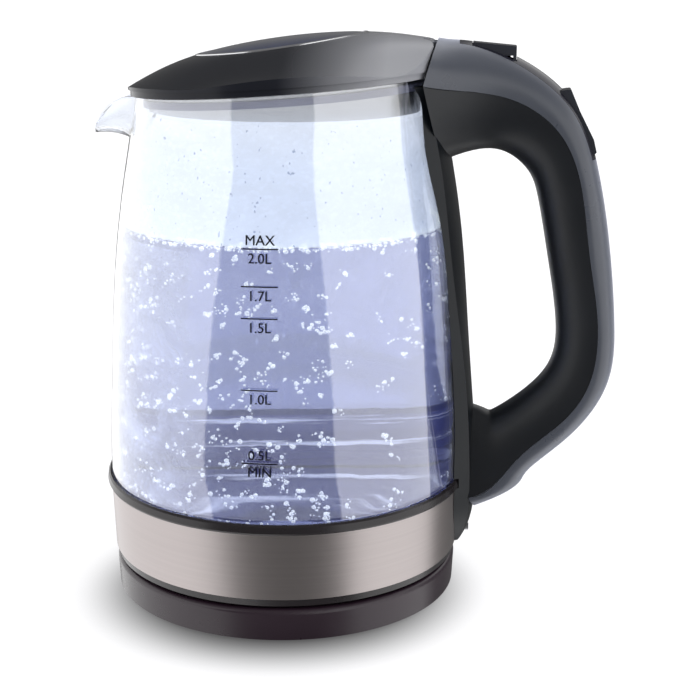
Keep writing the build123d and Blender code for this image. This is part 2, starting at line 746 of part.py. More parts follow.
with BuildPart() as mechanism_tray:
    add(crown_cavity)
    add(behind_gap(gap_width + front_wall + running_gap), mode=Mode.INTERSECT)
    add(slab_across(30, (hinge_x, tray_top - tray_thickness), (button_back_x + 3, tray_top - tray_thickness),
                    (button_back_x + 3, tray_top), (hinge_x, tray_top)), mode=Mode.INTERSECT)
save(mechanism_tray.part, "mechanism_tray")

with BuildPart() as hinge_pin:
    add(rod_across(hinge, hinge_pin_radius, ear_end))
save(hinge_pin.part, "hinge_pin")

with BuildPart() as latch_slider:
    add(slab_across(slider_half_width, (hinge_x - 5, slider_bottom_z), (slider_back_x, slider_bottom_z),
                    (slider_back_x, slider_top), (hinge_x - 5, slider_top)))
    add(behind_gap(gap_width), mode=Mode.INTERSECT)
    add(slab_across(cam_half_width + running_gap,
                    (cam_front - button_travel - running_gap, slider_bottom_z - 1),
                    (cam_back + cam_play - (cam_foot - slider_bottom_z + 1), slider_bottom_z - 1),
                    (cam_back + cam_play + slider_top + 1 - cam_foot, slider_top + 1),
                    (cam_front - button_travel - running_gap, slider_top + 1)), mode=Mode.SUBTRACT)
save(latch_slider.part, "latch_slider")

with BuildPart() as release_button:
    add(slab_across(button_half_width, *button_outline))
    add(slab_across(cam_half_width, (cam_front, cam_foot), (cam_back, cam_foot),
                    (cam_back + slider_top - cam_foot, slider_top), (cam_back + slider_top - cam_foot, button_floor_z),
                    (cam_front, button_floor_z)))
save(release_button.part, "release_button")

with BuildPart() as button_spring:
    with BuildLine(Plane.XY.offset(tray_top + button_spring_wire)) as coil:
        Helix(pitch=(button_floor_z - tray_top - 2 * button_spring_wire) / button_spring_turns,
              height=button_floor_z - tray_top - 2 * button_spring_wire, radius=button_spring_radius,
              center=(button_spring_x, 0, 0))
    start = coil.line.edges()[0]
    with BuildSketch(Plane(origin=start @ 0, z_dir=start % 0)):
        Circle(button_spring_wire)
    sweep(path=coil.line)
save(button_spring.part, "button_spring")

with BuildPart() as power_switch:
    add(slab_across(switch_half_width, *switch_outline))
    add(rod_across(switch_pivot, switch_boss_radius, switch_half_width))
    add(rod_across(switch_pivot, switch_reach, switch_half_width), mode=Mode.INTERSECT)
    add(rod_across(switch_pivot, switch_axle_radius + pin_gap, switch_half_width + 1), mode=Mode.SUBTRACT)
save(power_switch.part, "power_switch")

with BuildPart() as switch_axle:
    add(rod_across(switch_pivot, switch_axle_radius, handle_front_half_width))
    add(crown_cavity, mode=Mode.INTERSECT)
save(switch_axle.part, "switch_axle")

with BuildPart() as steam_switch:
    half_x = steam_switch_size[0] / 2
    half_z = steam_switch_size[1] / 2
    add(slab_across(handle_front_half_width,
                    (steam_switch_centre[0] - half_x, steam_switch_centre[1] - half_z),
                    (steam_switch_centre[0] + half_x, steam_switch_centre[1] - half_z),
                    (steam_switch_centre[0] + half_x, steam_switch_centre[1] + half_z),
                    (steam_switch_centre[0] - half_x, steam_switch_centre[1] + half_z)))
    add(grip_cavity, mode=Mode.INTERSECT)
save(steam_switch.part, "steam_switch")

with BuildPart() as wire_loom:
    bends = []
    for before, corner, after in zip(wire_route, wire_route[1:], wire_route[2:]):
        arriving = Vector(corner[0] - before[0], corner[1] - before[1], 0)
        leaving = Vector(after[0] - corner[0], after[1] - corner[1], 0)
        shorter = min(arriving.length, leaving.length)
        bends.append(0.45 * shorter / tan(radians(arriving.get_angle(leaving)) / 2))
    with BuildLine(Plane.XZ) as route:
        FilletPolyline(*wire_route, radius=bends)
    with BuildSketch(Plane(origin=route.line @ 0, z_dir=route.line % 0)):
        Circle(wire_radius)
    sweep(path=route.line)
save(wire_loom.part, "wire_loom")

with BuildPart() as handle_screws:
    head_face = carrier_radius - carrier_wall - seat_gap
    rods_out(handle_screw_radius, handle_screw_heights, head_face, carrier_radius + handle_screw_length - 1)
    rods_out(handle_screw_head, handle_screw_heights, head_face - screw_head_height, head_face)
save(handle_screws.part, "handle_screws")

# ==================== LID ====================

def lid_dome(drop):
    """Top of the lid as a solid block that reaches well below and beyond it, lowered by drop."""
    sections = []
    for x, flank in lid_sections:
        right = [(y, z - drop) for y, z in flank]
        left = [(-y, z) for y, z in right[:0:-1]]
        with BuildSketch(side_plane(x)) as section:
            with BuildLine():
                Spline(*left, *right)
                Polyline(right[-1], (right[-1][0], 190), (-right[-1][0], 190), left[0])
            make_face()
        sections.append(section.sketch)
    with BuildPart(mode=Mode.PRIVATE) as dome:
        loft(sections)
    return dome.part


def disc(radius, bottom, top, centre_x=0.0):
    """Plain upright disc between two heights."""
    with BuildPart(mode=Mode.PRIVATE) as plain:
        with BuildSketch(Plane.XY.offset(bottom)) as section:
            with Locations((centre_x, 0)):
                Circle(radius)
        extrude(section.sketch, amount=top - bottom)
    return plain.part


def below_lid(shift):
    """Everything below the lid's lower face, moved up by shift."""
    with BuildPart(mode=Mode.PRIVATE) as side:
        with BuildSketch(lid_plane.offset(shift)) as section:
            Rectangle(300, 300)
        extrude(section.sketch, amount=-80)
    return side.part


dome_top = lid_dome(0)
dome_under_insert = lid_dome(insert_thickness)
dome_inside = lid_dome(lid_wall)

with BuildPart() as lid_shell:
    add(disc(lid_radius, 200, 260))
    add(dome_top, mode=Mode.INTERSECT)
    add(below_lid(0), mode=Mode.SUBTRACT)
    add(behind_gap(0), mode=Mode.SUBTRACT)
    lip_ring = without(disc(lid_radius + 5, 200, 260), disc(lid_radius - lid_lip_inset, 200, 260))
    add(shared(lip_ring, below_lid(lid_lip_height)), mode=Mode.SUBTRACT)
    lid_hollow = shared(disc(lid_radius - lid_wall, 200, 260), dome_inside)
    add(without(lid_hollow, behind_gap(-lid_rear_block)), mode=Mode.SUBTRACT)
    flange_space = shared(disc(lid_radius - lid_wall, 200, 260), below_lid(cup_flange_lift + cup_wall + seat_gap))
    add(without(flange_space, behind_gap(-lid_wall)), mode=Mode.SUBTRACT)
    add(without(disc(insert_radius + insert_trim_width, 220, 260, insert_centre), dome_under_insert),
        mode=Mode.SUBTRACT)
    edge_block = slab_across(80, hinge, (hinge_x + 20, hinge_z), (hinge_x + 20, 270), (hinge_x, 270))
    add(without(edge_block, rod_across(hinge, lid_edge_round, 80)), mode=Mode.SUBTRACT)
    add(rod_across(hinge, knuckle_radius + running_gap, ear_end + running_gap, knuckle_inner), mode=Mode.SUBTRACT)
    for side in (1, -1):
        with BuildSketch(Plane.XZ.offset(side * knuckle_inner)):
            with BuildLine():
                Polyline((hinge_x - knuckle_radius, hinge_z), (hinge_x, hinge_z - knuckle_radius),
                         (hinge_x + 20, hinge_z - knuckle_radius), (hinge_x + 20, 270),
                         (hinge_x - knuckle_radius, 270), close=True)
            make_face()
        extrude(amount=side * (ear_width + 2 * running_gap), mode=Mode.SUBTRACT)
    add(rod_across(hinge, hinge_pin_radius + pin_gap, ear_end + 1), mode=Mode.SUBTRACT)
    add(slab_across(slider_half_width + 1 + seat_gap, (gap_x(slider_bottom_z + 1, -catch_thickness), slider_bottom_z + 1),
                    (hinge_x + 20, slider_bottom_z + 1), (hinge_x + 20, slider_top),
                    (gap_x(slider_top, -catch_thickness), slider_top)), mode=Mode.SUBTRACT)
save(lid_shell.part, "lid_shell")

with BuildPart() as lid_insert:
    add(disc(insert_radius - seat_gap / 2, 220, 260, insert_centre))
    add(dome_top, mode=Mode.INTERSECT)
    add(dome_under_insert, mode=Mode.SUBTRACT)
save(lid_insert.part, "lid_insert")

with BuildPart() as lid_trim_ring:
    add(disc(insert_radius + insert_trim_width - seat_gap / 2, 220, 260, insert_centre))
    add(disc(insert_radius, 220, 260, insert_centre), mode=Mode.SUBTRACT)
    add(lid_dome(-trim_proud), mode=Mode.INTERSECT)
    add(dome_under_insert, mode=Mode.SUBTRACT)
save(lid_trim_ring.part, "lid_trim_ring")

with BuildPart() as lid_catch:
    add(slab_across(slider_half_width + 1,
                    (gap_x(slider_bottom_z + 1 + seat_gap, -catch_thickness), slider_bottom_z + 1 + seat_gap),
                    (gap_x(slider_bottom_z + 1 + seat_gap), slider_bottom_z + 1 + seat_gap),
                    (gap_x(slider_top - seat_gap), slider_top - seat_gap),
                    (gap_x(slider_top - seat_gap, -catch_thickness), slider_top - seat_gap)))
save(lid_catch.part, "lid_catch")

with BuildPart() as lid_cup:
    add(disc(cup_radius, cup_bottom, 240))
    add(without(disc(lid_radius - lid_wall - seat_gap, 210, 240), below_lid(cup_flange_lift),
                behind_gap(-lid_wall - seat_gap)))
    add(below_lid(cup_flange_lift + cup_wall), mode=Mode.INTERSECT)
    add(disc(cup_radius - cup_wall, cup_bottom + cup_wall, 245), mode=Mode.SUBTRACT)
    posts(cup_hole_radius, cup_radius / 2, cup_floor_holes, cup_bottom, cup_bottom + cup_wall, mode=Mode.SUBTRACT)
save(lid_cup.part, "lid_cup")

with BuildPart() as lid_seal:
    add(disc(lid_seal_radius, 205, 240))
    add(disc(cup_radius, 205, 240), mode=Mode.SUBTRACT)
    add(below_lid(-lid_seal_drop), mode=Mode.INTERSECT)
    add(below_lid(-lid_seal_drop - lid_seal_height), mode=Mode.SUBTRACT)
save(lid_seal.part, "lid_seal")
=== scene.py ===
"""Glass electric kettle on its power base: finishes, water, litre scale and a plain studio stage."""

import math
import random

import bpy
from bpy.props import FloatProperty, FloatVectorProperty, IntProperty, PointerProperty
from mathutils import Matrix, Vector


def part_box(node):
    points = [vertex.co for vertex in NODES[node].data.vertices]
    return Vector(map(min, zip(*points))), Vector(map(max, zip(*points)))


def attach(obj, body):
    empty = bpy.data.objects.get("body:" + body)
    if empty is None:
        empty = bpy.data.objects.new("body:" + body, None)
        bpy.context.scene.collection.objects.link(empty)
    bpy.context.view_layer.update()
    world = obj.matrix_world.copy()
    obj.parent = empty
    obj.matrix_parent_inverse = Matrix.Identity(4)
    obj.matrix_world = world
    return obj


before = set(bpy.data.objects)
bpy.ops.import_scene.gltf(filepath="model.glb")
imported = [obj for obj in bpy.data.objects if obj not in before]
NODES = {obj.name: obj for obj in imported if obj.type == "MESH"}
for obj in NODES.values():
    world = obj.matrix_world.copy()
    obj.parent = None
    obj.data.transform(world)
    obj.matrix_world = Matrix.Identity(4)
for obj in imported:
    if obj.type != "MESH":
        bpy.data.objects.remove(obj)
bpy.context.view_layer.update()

bl_info = {
    "name": "Glass Kettle",
    "version": (1, 0, 0),
    "blender": (4, 5, 0),
    "location": "View3D > Sidebar > Kettle",
    "description": "Dresses a glass electric kettle and sets it on a plain studio stage",
    "category": "Object",
}

PLATE_LOW, PLATE_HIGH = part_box("heating_plate")
MM = 0.001


def colour_property(name, description, default):
    return FloatVectorProperty(
        name=name, description=description, subtype="COLOR", size=3, min=0.0, max=1.0, default=default
    )


class KettlePlasticSettings(bpy.types.PropertyGroup):
    base_colour: colour_property("Base", "Colour of the power base's shell", (0.022, 0.011, 0.019))
    skirt_colour: colour_property("Skirt and trim", "Colour of the rings round the jug", (0.012, 0.009, 0.011))
    grip_colour: colour_property("Grip", "Colour of the handle's inner half", (0.004, 0.0055, 0.009))
    crown_colour: colour_property("Crown", "Colour of the handle's outer half", (0.050, 0.056, 0.072))
    lid_colour: colour_property("Lid", "Colour of the lid's flank", (0.010, 0.011, 0.016))
    # painted light: the light colour that the lid's flank is given by the hinge
    lid_rear_painted_light: colour_property("Lid rear", "Colour of the lid's flank by the hinge", (0.31, 0.315, 0.34))
    insert_colour: colour_property("Lid insert", "Colour of the insert in the lid", (0.016, 0.026, 0.080))
    grain_depth: FloatProperty(
        name="Grain depth", description="Strength of the moulded grain", default=0.06, min=0.0, max=1.0
    )


class KettleMetalSettings(bpy.types.PropertyGroup):
    band_colour: colour_property("Band", "Colour of the brushed steel band", (0.47, 0.425, 0.42))
    bright_colour: colour_property("Bright steel", "Colour of the polished steel pieces", (0.62, 0.62, 0.63))
    brush_depth: FloatProperty(
        name="Brush depth", description="Strength of the brushed lines", default=0.18, min=0.0, max=1.0
    )


class KettleWaterSettings(bpy.types.PropertyGroup):
    glass_colour: colour_property("Glass", "Tint of the jug's glass", (0.80, 0.85, 0.94))
    # painted lamp light: the water's lavender tint stands in for the lamps' light in it
    water_lamp_light: colour_property("Water", "Tint of the lit water", (0.50, 0.512, 0.72))
    water_level: FloatProperty(
        name="Water level", description="Height of the water above the worktop", default=0.1663, min=0.06,
        max=0.2, unit="LENGTH"
    )
    wall_gap: FloatProperty(
        name="Wall gap", description="Space between the water and the glass", default=0.0003, min=0.0001,
        max=0.002, unit="LENGTH"
    )
    bubble_count: IntProperty(
        name="Bubbles", description="Number of bubbles in the water", default=2200, min=0, max=2400
    )
    mist: FloatProperty(
        name="Mist", description="Thickness of the mist above the water", default=0.90, min=0.0, max=1.0
    )


class KettleScaleSettings(bpy.types.PropertyGroup):
    ink_colour: colour_property("Ink", "Colour of the printed litre scale", (0.006, 0.006, 0.010))
    capital_height: FloatProperty(
        name="Capital height", description="Height of the scale's capitals", default=0.0040, min=0.001, max=0.02,
        unit="LENGTH"
    )
    line_width: FloatProperty(
        name="Line width", description="Length of the scale's lines", default=0.0148, min=0.002, max=0.05,
        unit="LENGTH"
    )
    line_weight: FloatProperty(
        name="Line weight", description="Thickness of the scale's lines", default=0.00055, min=0.0001, max=0.003,
        unit="LENGTH"
    )


class KettleStageSettings(bpy.types.PropertyGroup):
    lens: FloatProperty(name="Lens", description="Focal length of the camera", default=75.4, min=10.0, max=300.0)
    softbox: FloatProperty(
        name="Softboxes", description="Brightness of the two tall soft panels", default=1.44, min=0.0, max=10.0
    )
    room: FloatProperty(
        name="Room", description="Brightness of the room between the panels", default=0.18, min=0.0, max=5.0
    )
    fill: FloatProperty(
        name="Fill", description="Even light that only brightens matt surfaces", default=0.36, min=0.0, max=5.0
    )


# ---------------------------------------------------------------- node helpers


def shader_of(material):
    return next(made for made in material.node_tree.nodes if made.type == "BSDF_PRINCIPLED")


def fresh_material(name):
    material = bpy.data.materials.new(name)
    material.use_nodes = True
    return material, material.node_tree, shader_of(material)


def set_shader(shader, colour=None, **values):
    """Constants on the Principled shader's own sockets."""
    if colour is not None:
        shader.inputs["Base Color"].default_value = (*colour, 1.0)
    for key, value in values.items():
        shader.inputs[key.replace("_", " ")].default_value = value


def node(tree, kind, **settings):
    made = tree.nodes.new(kind)
    for key, value in settings.items():
        setattr(made, key, value)
    return made


def link(tree, source, target):
    tree.links.new(source, target)


def value_ramp(tree, source, low, high, out_low=0.0, out_high=1.0):
    """Maps a value from low..high to out_low..out_high, clamped."""
    mapped = node(tree, "ShaderNodeMapRange")
    mapped.inputs["From Min"].default_value = low
    mapped.inputs["From Max"].default_value = high
    mapped.inputs["To Min"].default_value = out_low
    mapped.inputs["To Max"].default_value = out_high
    link(tree, source, mapped.inputs["Value"])
    return mapped.outputs["Result"]


def math_node(tree, operation, first, second=None):
    made = node(tree, "ShaderNodeMath", operation=operation)
    for socket, value in zip(made.inputs, (first, second)):
        if value is None:
            continue
        if isinstance(value, (int, float)):
            socket.default_value = value
        else:
            link(tree, value, socket)
    return made.outputs[0]


def mix_colour(tree, factor, first, second):
    """Mixes two colours, each an output or a plain (red, green, blue)."""
    mix = node(tree, "ShaderNodeMix", data_type="RGBA")
    link(tree, factor, mix.inputs["Factor"])
    for socket, colour in ((mix.inputs["A"], first), (mix.inputs["B"], second)):
        if hasattr(colour, "__len__"):
            socket.default_value = (*colour, 1.0)
        else:
            link(tree, colour, socket)
    return mix.outputs["Result"]


def noise(tree, vector, scale, detail=4.0, roughness=0.5):
    made = node(tree, "ShaderNodeTexNoise")
    made.inputs["Scale"].default_value = scale
    made.inputs["Detail"].default_value = detail
    made.inputs["Roughness"].default_value = roughness
    if vector is not None:
        link(tree, vector, made.inputs["Vector"])
    return made.outputs["Fac"]


def object_coordinates(tree, stretch=(1.0, 1.0, 1.0)):
    where = node(tree, "ShaderNodeTexCoord")
    mapping = node(tree, "ShaderNodeMapping")
    mapping.inputs["Scale"].default_value = stretch
    link(tree, where.outputs["Object"], mapping.inputs["Vector"])
    return mapping.outputs["Vector"]


def object_axes(tree):
    """The X, Y and Z outputs of a point's place on the object."""
    axes = node(tree, "ShaderNodeSeparateXYZ")
    link(tree, object_coordinates(tree), axes.inputs["Vector"])
    return axes.outputs


def paint_glow(tree, shader, colour):
    """Gives a surface one changing colour for its own colour and for the painted glow it gives off."""
    link(tree, colour, shader.inputs["Base Color"])
    link(tree, colour, shader.inputs["Emission Color"])


def new_group(name, inputs, outputs):
    """Shader node group with float inputs {name: default} and outputs {name: socket type}."""
    group = bpy.data.node_groups.new(name, "ShaderNodeTree")
    for label, default in inputs.items():
        socket = group.interface.new_socket(name=label, in_out="INPUT", socket_type="NodeSocketFloat")
        socket.default_value = default
    for label, kind in outputs.items():
        group.interface.new_socket(name=label, in_out="OUTPUT", socket_type=kind)
    entry = group.nodes.new("NodeGroupInput")
    leave = group.nodes.new("NodeGroupOutput")
    return group, entry, leave


def moulded_grain_group():
    """Fine spark-eroded grain of moulded plastic, with faint handling marks in the roughness."""
    name = "Moulded grain"
    if name in bpy.data.node_groups:
        return bpy.data.node_groups[name]
    group, entry, leave = new_group(
        name,
        {"Grain size": 1400.0, "Depth": 0.06, "Roughness": 0.35, "Marks": 0.08},
        {"Roughness": "NodeSocketFloat", "Normal": "NodeSocketVector"},
    )
    where = object_coordinates(group)
    grain = node(group, "ShaderNodeTexNoise")
    grain.inputs["Detail"].default_value = 3.0
    link(group, where, grain.inputs["Vector"])
    link(group, entry.outputs["Grain size"], grain.inputs["Scale"])
    bump = node(group, "ShaderNodeBump")
    bump.inputs["Distance"].default_value = 0.0002
    link(group, grain.outputs["Fac"], bump.inputs["Height"])
    link(group, entry.outputs["Depth"], bump.inputs["Strength"])
    marks = value_ramp(group, noise(group, where, 38.0, 5.0, 0.6), 0.35, 0.75, -0.5, 0.5)
    shift = math_node(group, "MULTIPLY", marks, entry.outputs["Marks"])
    rough = math_node(group, "ADD", entry.outputs["Roughness"], shift)
    link(group, rough, leave.inputs["Roughness"])
    link(group, bump.outputs["Normal"], leave.inputs["Normal"])
    return group


def brushed_lines_group():
    """Long fine lines that run round the kettle, for brushed and spun steel."""
    name = "Brushed lines"
    if name in bpy.data.node_groups:
        return bpy.data.node_groups[name]
    group, entry, leave = new_group(
        name,
        {"Depth": 0.2, "Roughness": 0.32, "Streaks": 0.12},
        {"Shade": "NodeSocketFloat", "Roughness": "NodeSocketFloat", "Normal": "NodeSocketVector"},
    )
    fine = noise(group, object_coordinates(group, (9.0, 9.0, 5200.0)), 1.0, 6.0, 0.65)
    broad = noise(group, object_coordinates(group, (3.0, 3.0, 900.0)), 1.0, 3.0, 0.5)
    fine_share = math_node(group, "MULTIPLY", fine, 0.6)
    both = math_node(group, "ADD", fine_share, math_node(group, "MULTIPLY", broad, 0.4))
    bump = node(group, "ShaderNodeBump")
    bump.inputs["Distance"].default_value = 0.00012
    link(group, both, bump.inputs["Height"])
    link(group, entry.outputs["Depth"], bump.inputs["Strength"])
    centred = math_node(group, "SUBTRACT", both, 0.5)
    streak = math_node(group, "MULTIPLY", centred, entry.outputs["Streaks"])
    link(group, math_node(group, "ADD", 1.0, streak), leave.inputs["Shade"])
    link(group, math_node(group, "ADD", entry.outputs["Roughness"], streak), leave.inputs["Roughness"])
    link(group, bump.outputs["Normal"], leave.inputs["Normal"])
    return group


def drifting_cloud_group():
    """Soft cloudy mask with fine specks, for steam, mist and churned water."""
    name = "Drifting cloud"
    if name in bpy.data.node_groups:
        return bpy.data.node_groups[name]
    group, entry, leave = new_group(
        name,
        {"Size": 30.0, "Least": 0.0, "Cover": 0.5, "Specks": 0.3},
        {"Mask": "NodeSocketFloat"},
    )
    where = object_coordinates(group, (1.0, 1.0, 1.3))
    cloud = node(group, "ShaderNodeTexNoise")
    cloud.inputs["Detail"].default_value = 7.0
    cloud.inputs["Roughness"].default_value = 0.6
    cloud.inputs["Distortion"].default_value = 0.8
    link(group, where, cloud.inputs["Vector"])
    link(group, entry.outputs["Size"], cloud.inputs["Scale"])
    soft = value_ramp(group, cloud.outputs["Fac"], 0.32, 0.68)
    covered = math_node(group, "MULTIPLY", soft, entry.outputs["Cover"])
    fine = value_ramp(group, noise(group, where, 420.0, 2.0), 0.52, 0.70)
    speck = math_node(group, "MULTIPLY", fine, entry.outputs["Specks"])
    total = node(group, "ShaderNodeMath", operation="ADD", use_clamp=True)
    link(group, math_node(group, "MAXIMUM", covered, entry.outputs["Least"]), total.inputs[0])
    link(group, speck, total.inputs[1])
    link(group, total.outputs[0], leave.inputs["Mask"])
    return group


def light_streaks_group():
    """Thin level streaks, as lamps under the plate throw them on the lower wall."""
    name = "Light streaks"
    if name in bpy.data.node_groups:
        return bpy.data.node_groups[name]
    group, entry, leave = new_group(name, {"Threshold": 0.57}, {"Mask": "NodeSocketFloat"})
    bands = noise(group, object_coordinates(group, (13.0, 13.0, 190.0)), 1.0, 6.0, 0.6)
    above = math_node(group, "SUBTRACT", bands, entry.outputs["Threshold"])
    link(group, value_ramp(group, above, 0.0, 0.08), leave.inputs["Mask"])
    return group


def place_group(tree, group, **values):
    placed = node(tree, "ShaderNodeGroup")
    placed.node_tree = group
    for key, value in values.items():
        placed.inputs[key.replace("_", " ")].default_value = value
    return placed


# ---------------------------------------------------------------- finishes


def plastic(name, colour, roughness, grain_size=1400.0, depth=0.06, marks=0.08, specular=0.5, coat=0.0):
    material, tree, shader = fresh_material(name)
    set_shader(shader, Specular_IOR_Level=specular, Coat_Weight=coat, Coat_Roughness=0.08)
    grain = place_group(
        tree, moulded_grain_group(), Grain_size=grain_size, Depth=depth, Roughness=roughness, Marks=marks
    )
    link(tree, grain.outputs["Roughness"], shader.inputs["Roughness"])
    link(tree, grain.outputs["Normal"], shader.inputs["Normal"])
    patch = value_ramp(tree, noise(tree, object_coordinates(tree), 22.0, 3.0), 0.3, 0.7)
    lighter = tuple(min(1.0, part * 1.18 + 0.001) for part in colour)
    link(tree, mix_colour(tree, patch, tuple(colour), lighter), shader.inputs["Base Color"])
    return material


def paint_light_towards_rear(material, painted_rear_light):
    """Paints light into the lid's colour: the painted light grows from its nose to the hinge."""
    tree = material.node_tree
    shader = shader_of(material)
    own = shader.inputs["Base Color"].links[0].from_socket
    fade_start, fade_end, fade_curve = 6 * MM, 47 * MM, 1.3
    rear = math_node(tree, "POWER", value_ramp(tree, object_axes(tree)["X"], fade_start, fade_end), fade_curve)
    link(tree, mix_colour(tree, rear, own, painted_rear_light), shader.inputs["Base Color"])


def brushed(name, colour, roughness, depth, streaks):
    """Brushed or spun steel, with a darker shade in its lines."""
    material, tree, shader = fresh_material(name)
    set_shader(shader, Metallic=1.0)
    lines = place_group(tree, brushed_lines_group(), Depth=depth, Roughness=roughness, Streaks=streaks)
    darker = tuple(part * 0.80 for part in colour)
    shade = value_ramp(tree, lines.outputs["Shade"], 1.0 - streaks * 0.35, 1.0 + streaks * 0.35)
    link(tree, mix_colour(tree, shade, darker, tuple(colour)), shader.inputs["Base Color"])
    link(tree, lines.outputs["Roughness"], shader.inputs["Roughness"])
    link(tree, lines.outputs["Normal"], shader.inputs["Normal"])
    return material


def metal(name, colour, roughness):
    material, tree, shader = fresh_material(name)
    set_shader(shader, Metallic=1.0)
    where = object_coordinates(tree)
    rough = value_ramp(tree, noise(tree, where, 160.0, 4.0), 0.3, 0.7, roughness * 0.8, roughness * 1.25)
    link(tree, rough, shader.inputs["Roughness"])
    tone = value_ramp(tree, noise(tree, where, 45.0, 3.0), 0.3, 0.7)
    duller = tuple(part * 0.88 for part in colour)
    link(tree, mix_colour(tree, tone, duller, tuple(colour)), shader.inputs["Base Color"])
    return material


def clear_glass(name, colour):
    """Tinted glass with a glossy face, clearer at its rim, with painted shade at its spout and along its edges as
    they turn from view.
    """
    material, tree, shader = fresh_material(name)
    set_shader(shader, Roughness=0.0, Transmission_Weight=1.0, IOR=1.47)
    set_shader(shader, Coat_Weight=1.0, Coat_IOR=2.1, Coat_Roughness=0.0)
    place = object_axes(tree)
    # painted shade: a grey at the spout and a grey where the glass turns from view
    rim_clear, spout_painted_shade, edge_painted_shade = (0.93, 0.95, 0.98), (0.78, 0.80, 0.85), (0.50, 0.54, 0.62)
    body = mix_colour(tree, value_ramp(tree, place["Z"], 196 * MM, 226 * MM), colour, rim_clear)
    body = mix_colour(tree, value_ramp(tree, place["X"], -76 * MM, -86 * MM), body, spout_painted_shade)
    facing = node(tree, "ShaderNodeLayerWeight")
    edge = value_ramp(tree, facing.outputs["Facing"], 0.78, 0.98)
    link(tree, mix_colour(tree, edge, body, edge_painted_shade), shader.inputs["Base Color"])
    return material


def paint(material, *names):
    """Gives CAD nodes a finish in place of the plain one they came with."""
    for name in names:
        slots = NODES[name].data.materials
        slots.clear()
        slots.append(material)


class KETTLE_OT_finish_base(bpy.types.Operator):
    """Gives the power base its gloss shell, rubber ring, gland and contacts"""

    bl_idname = "kettle.finish_base"
    bl_label = "Finish power base"

    def execute(self, context):
        colours = context.scene.kettle_plastic
        paint(
            plastic("base_gloss", colours.base_colour, roughness=0.30, grain_size=900.0, depth=0.012, marks=0.08),
            "base_housing",
        )
        paint(
            plastic("under_black", (0.02, 0.02, 0.02), roughness=0.55, grain_size=1200.0, depth=0.10),
            "base_cover", "base_connector", "cord_inlet",
        )
        paint(
            plastic("ring_rubber", (0.012, 0.012, 0.012), roughness=0.75, grain_size=1600.0, depth=0.15,
                    specular=0.3),
            "base_foot_ring",
        )
        paint(metal("contact_brass", (0.72, 0.52, 0.22), roughness=0.22), "base_contacts", "jug_contacts")
        paint(
            metal("screw_zinc", (0.50, 0.50, 0.52), roughness=0.30),
            "base_screws", "jug_screws", "handle_screws", "lid_catch", "switch_axle",
        )
        return {"FINISHED"}


class KETTLE_OT_finish_jug(bpy.types.Operator):
    """Gives the jug its brushed band, dark rings, glass and the pieces under the glass"""

    bl_idname = "kettle.finish_jug"
    bl_label = "Finish jug"

    def execute(self, context):
        colours = context.scene.kettle_plastic
        metals = context.scene.kettle_metal
        paint(
            brushed("band_steel", metals.band_colour, roughness=0.33, depth=metals.brush_depth, streaks=0.16),
            "steel_band",
        )
        paint(
            plastic("skirt_satin", colours.skirt_colour, roughness=0.28, grain_size=900.0, depth=0.02),
            "bottom_cover", "trim_ring",
        )
        paint(
            plastic("carrier_black", (0.02, 0.02, 0.02), roughness=0.5),
            "jug_carrier", "jug_connector", "control_unit",
        )
        # partly painted lamp light: grey silicone seals given a blue tint for the lamps' light on them
        paint(
            plastic("seal_silicone_painted_lamp_blue", (0.24, 0.25, 0.38), roughness=0.45, grain_size=800.0, depth=0.03,
                    specular=0.4),
            "glass_seal", "lid_seal",
        )
        # painted lamp light: the steel heating plate is coloured navy and glows blue for the lamps' light falling
        # on it
        plate = brushed("plate_steel_painted_lamp_light", (0.030, 0.035, 0.090), roughness=0.26, depth=0.12, streaks=0.2)
        set_shader(shader_of(plate), Emission_Strength=0.45, Emission_Color=(0.15, 0.17, 0.50, 1.0))
        paint(plate, "heating_plate")
        paint(metal("cast_aluminium", (0.56, 0.57, 0.58), roughness=0.5), "heat_spreader")
        paint(
            metal("element_steel", metals.bright_colour, roughness=0.3),
            "heating_element", "button_spring", "hinge_pin",
        )
        paint(
            plastic("board_green", (0.02, 0.09, 0.035), roughness=0.4, grain_size=500.0, depth=0.05),
            "led_board",
        )
        lens, _, shader = fresh_material("lamp_lens")
        set_shader(shader, (0.75, 0.82, 1.0), Roughness=0.15, Emission_Strength=2.0)
        set_shader(shader, Emission_Color=(0.35, 0.42, 1.0, 1.0))
        paint(lens, "led_lamps")
        paint(clear_glass("jug_glass", context.scene.kettle_water.glass_colour), "glass_jug")
        NODES["glass_jug"].visible_shadow = False
        return {"FINISHED"}


class KETTLE_OT_finish_handle(bpy.types.Operator):
    """Gives the handle its satin shells, inlay, button, rocker and inner works"""

    bl_idname = "kettle.finish_handle"
    bl_label = "Finish handle"

    def execute(self, context):
        colours = context.scene.kettle_plastic
        grain = {"grain_size": 1500.0, "depth": colours.grain_depth}
        held = {"marks": 0.10, **grain}
        paint(plastic("grip_satin", colours.grip_colour, roughness=0.42, **held), "handle_inner_shell")
        spine = plastic("spine_satin", (0.004, 0.006, 0.009), roughness=0.36, specular=0.35, **held)
        paint(spine, "handle_spine")
        crown = plastic("crown_satin", colours.crown_colour, roughness=0.32, specular=0.6, **held)
        set_shader(shader_of(crown), Sheen_Weight=0.8, Sheen_Roughness=0.45, Sheen_Tint=(0.80, 0.84, 1.0, 1.0))
        paint(crown, "handle_outer_shell")
        paint(
            plastic("inlay_gloss", (0.016, 0.016, 0.026), roughness=0.22, grain_size=900.0, depth=0.02),
            "handle_inlay",
        )
        controls = plastic("control_satin", (0.020, 0.022, 0.030), roughness=0.30, **grain)
        paint(controls, "release_button", "power_switch")
        paint(
            plastic("works_black", (0.03, 0.03, 0.03), roughness=0.5),
            "mechanism_tray", "latch_slider", "steam_switch",
        )
        paint(
            plastic("wire_sleeve", (0.35, 0.04, 0.03), roughness=0.6, grain_size=600.0, depth=0.2),
            "wire_loom",
        )
        return {"FINISHED"}


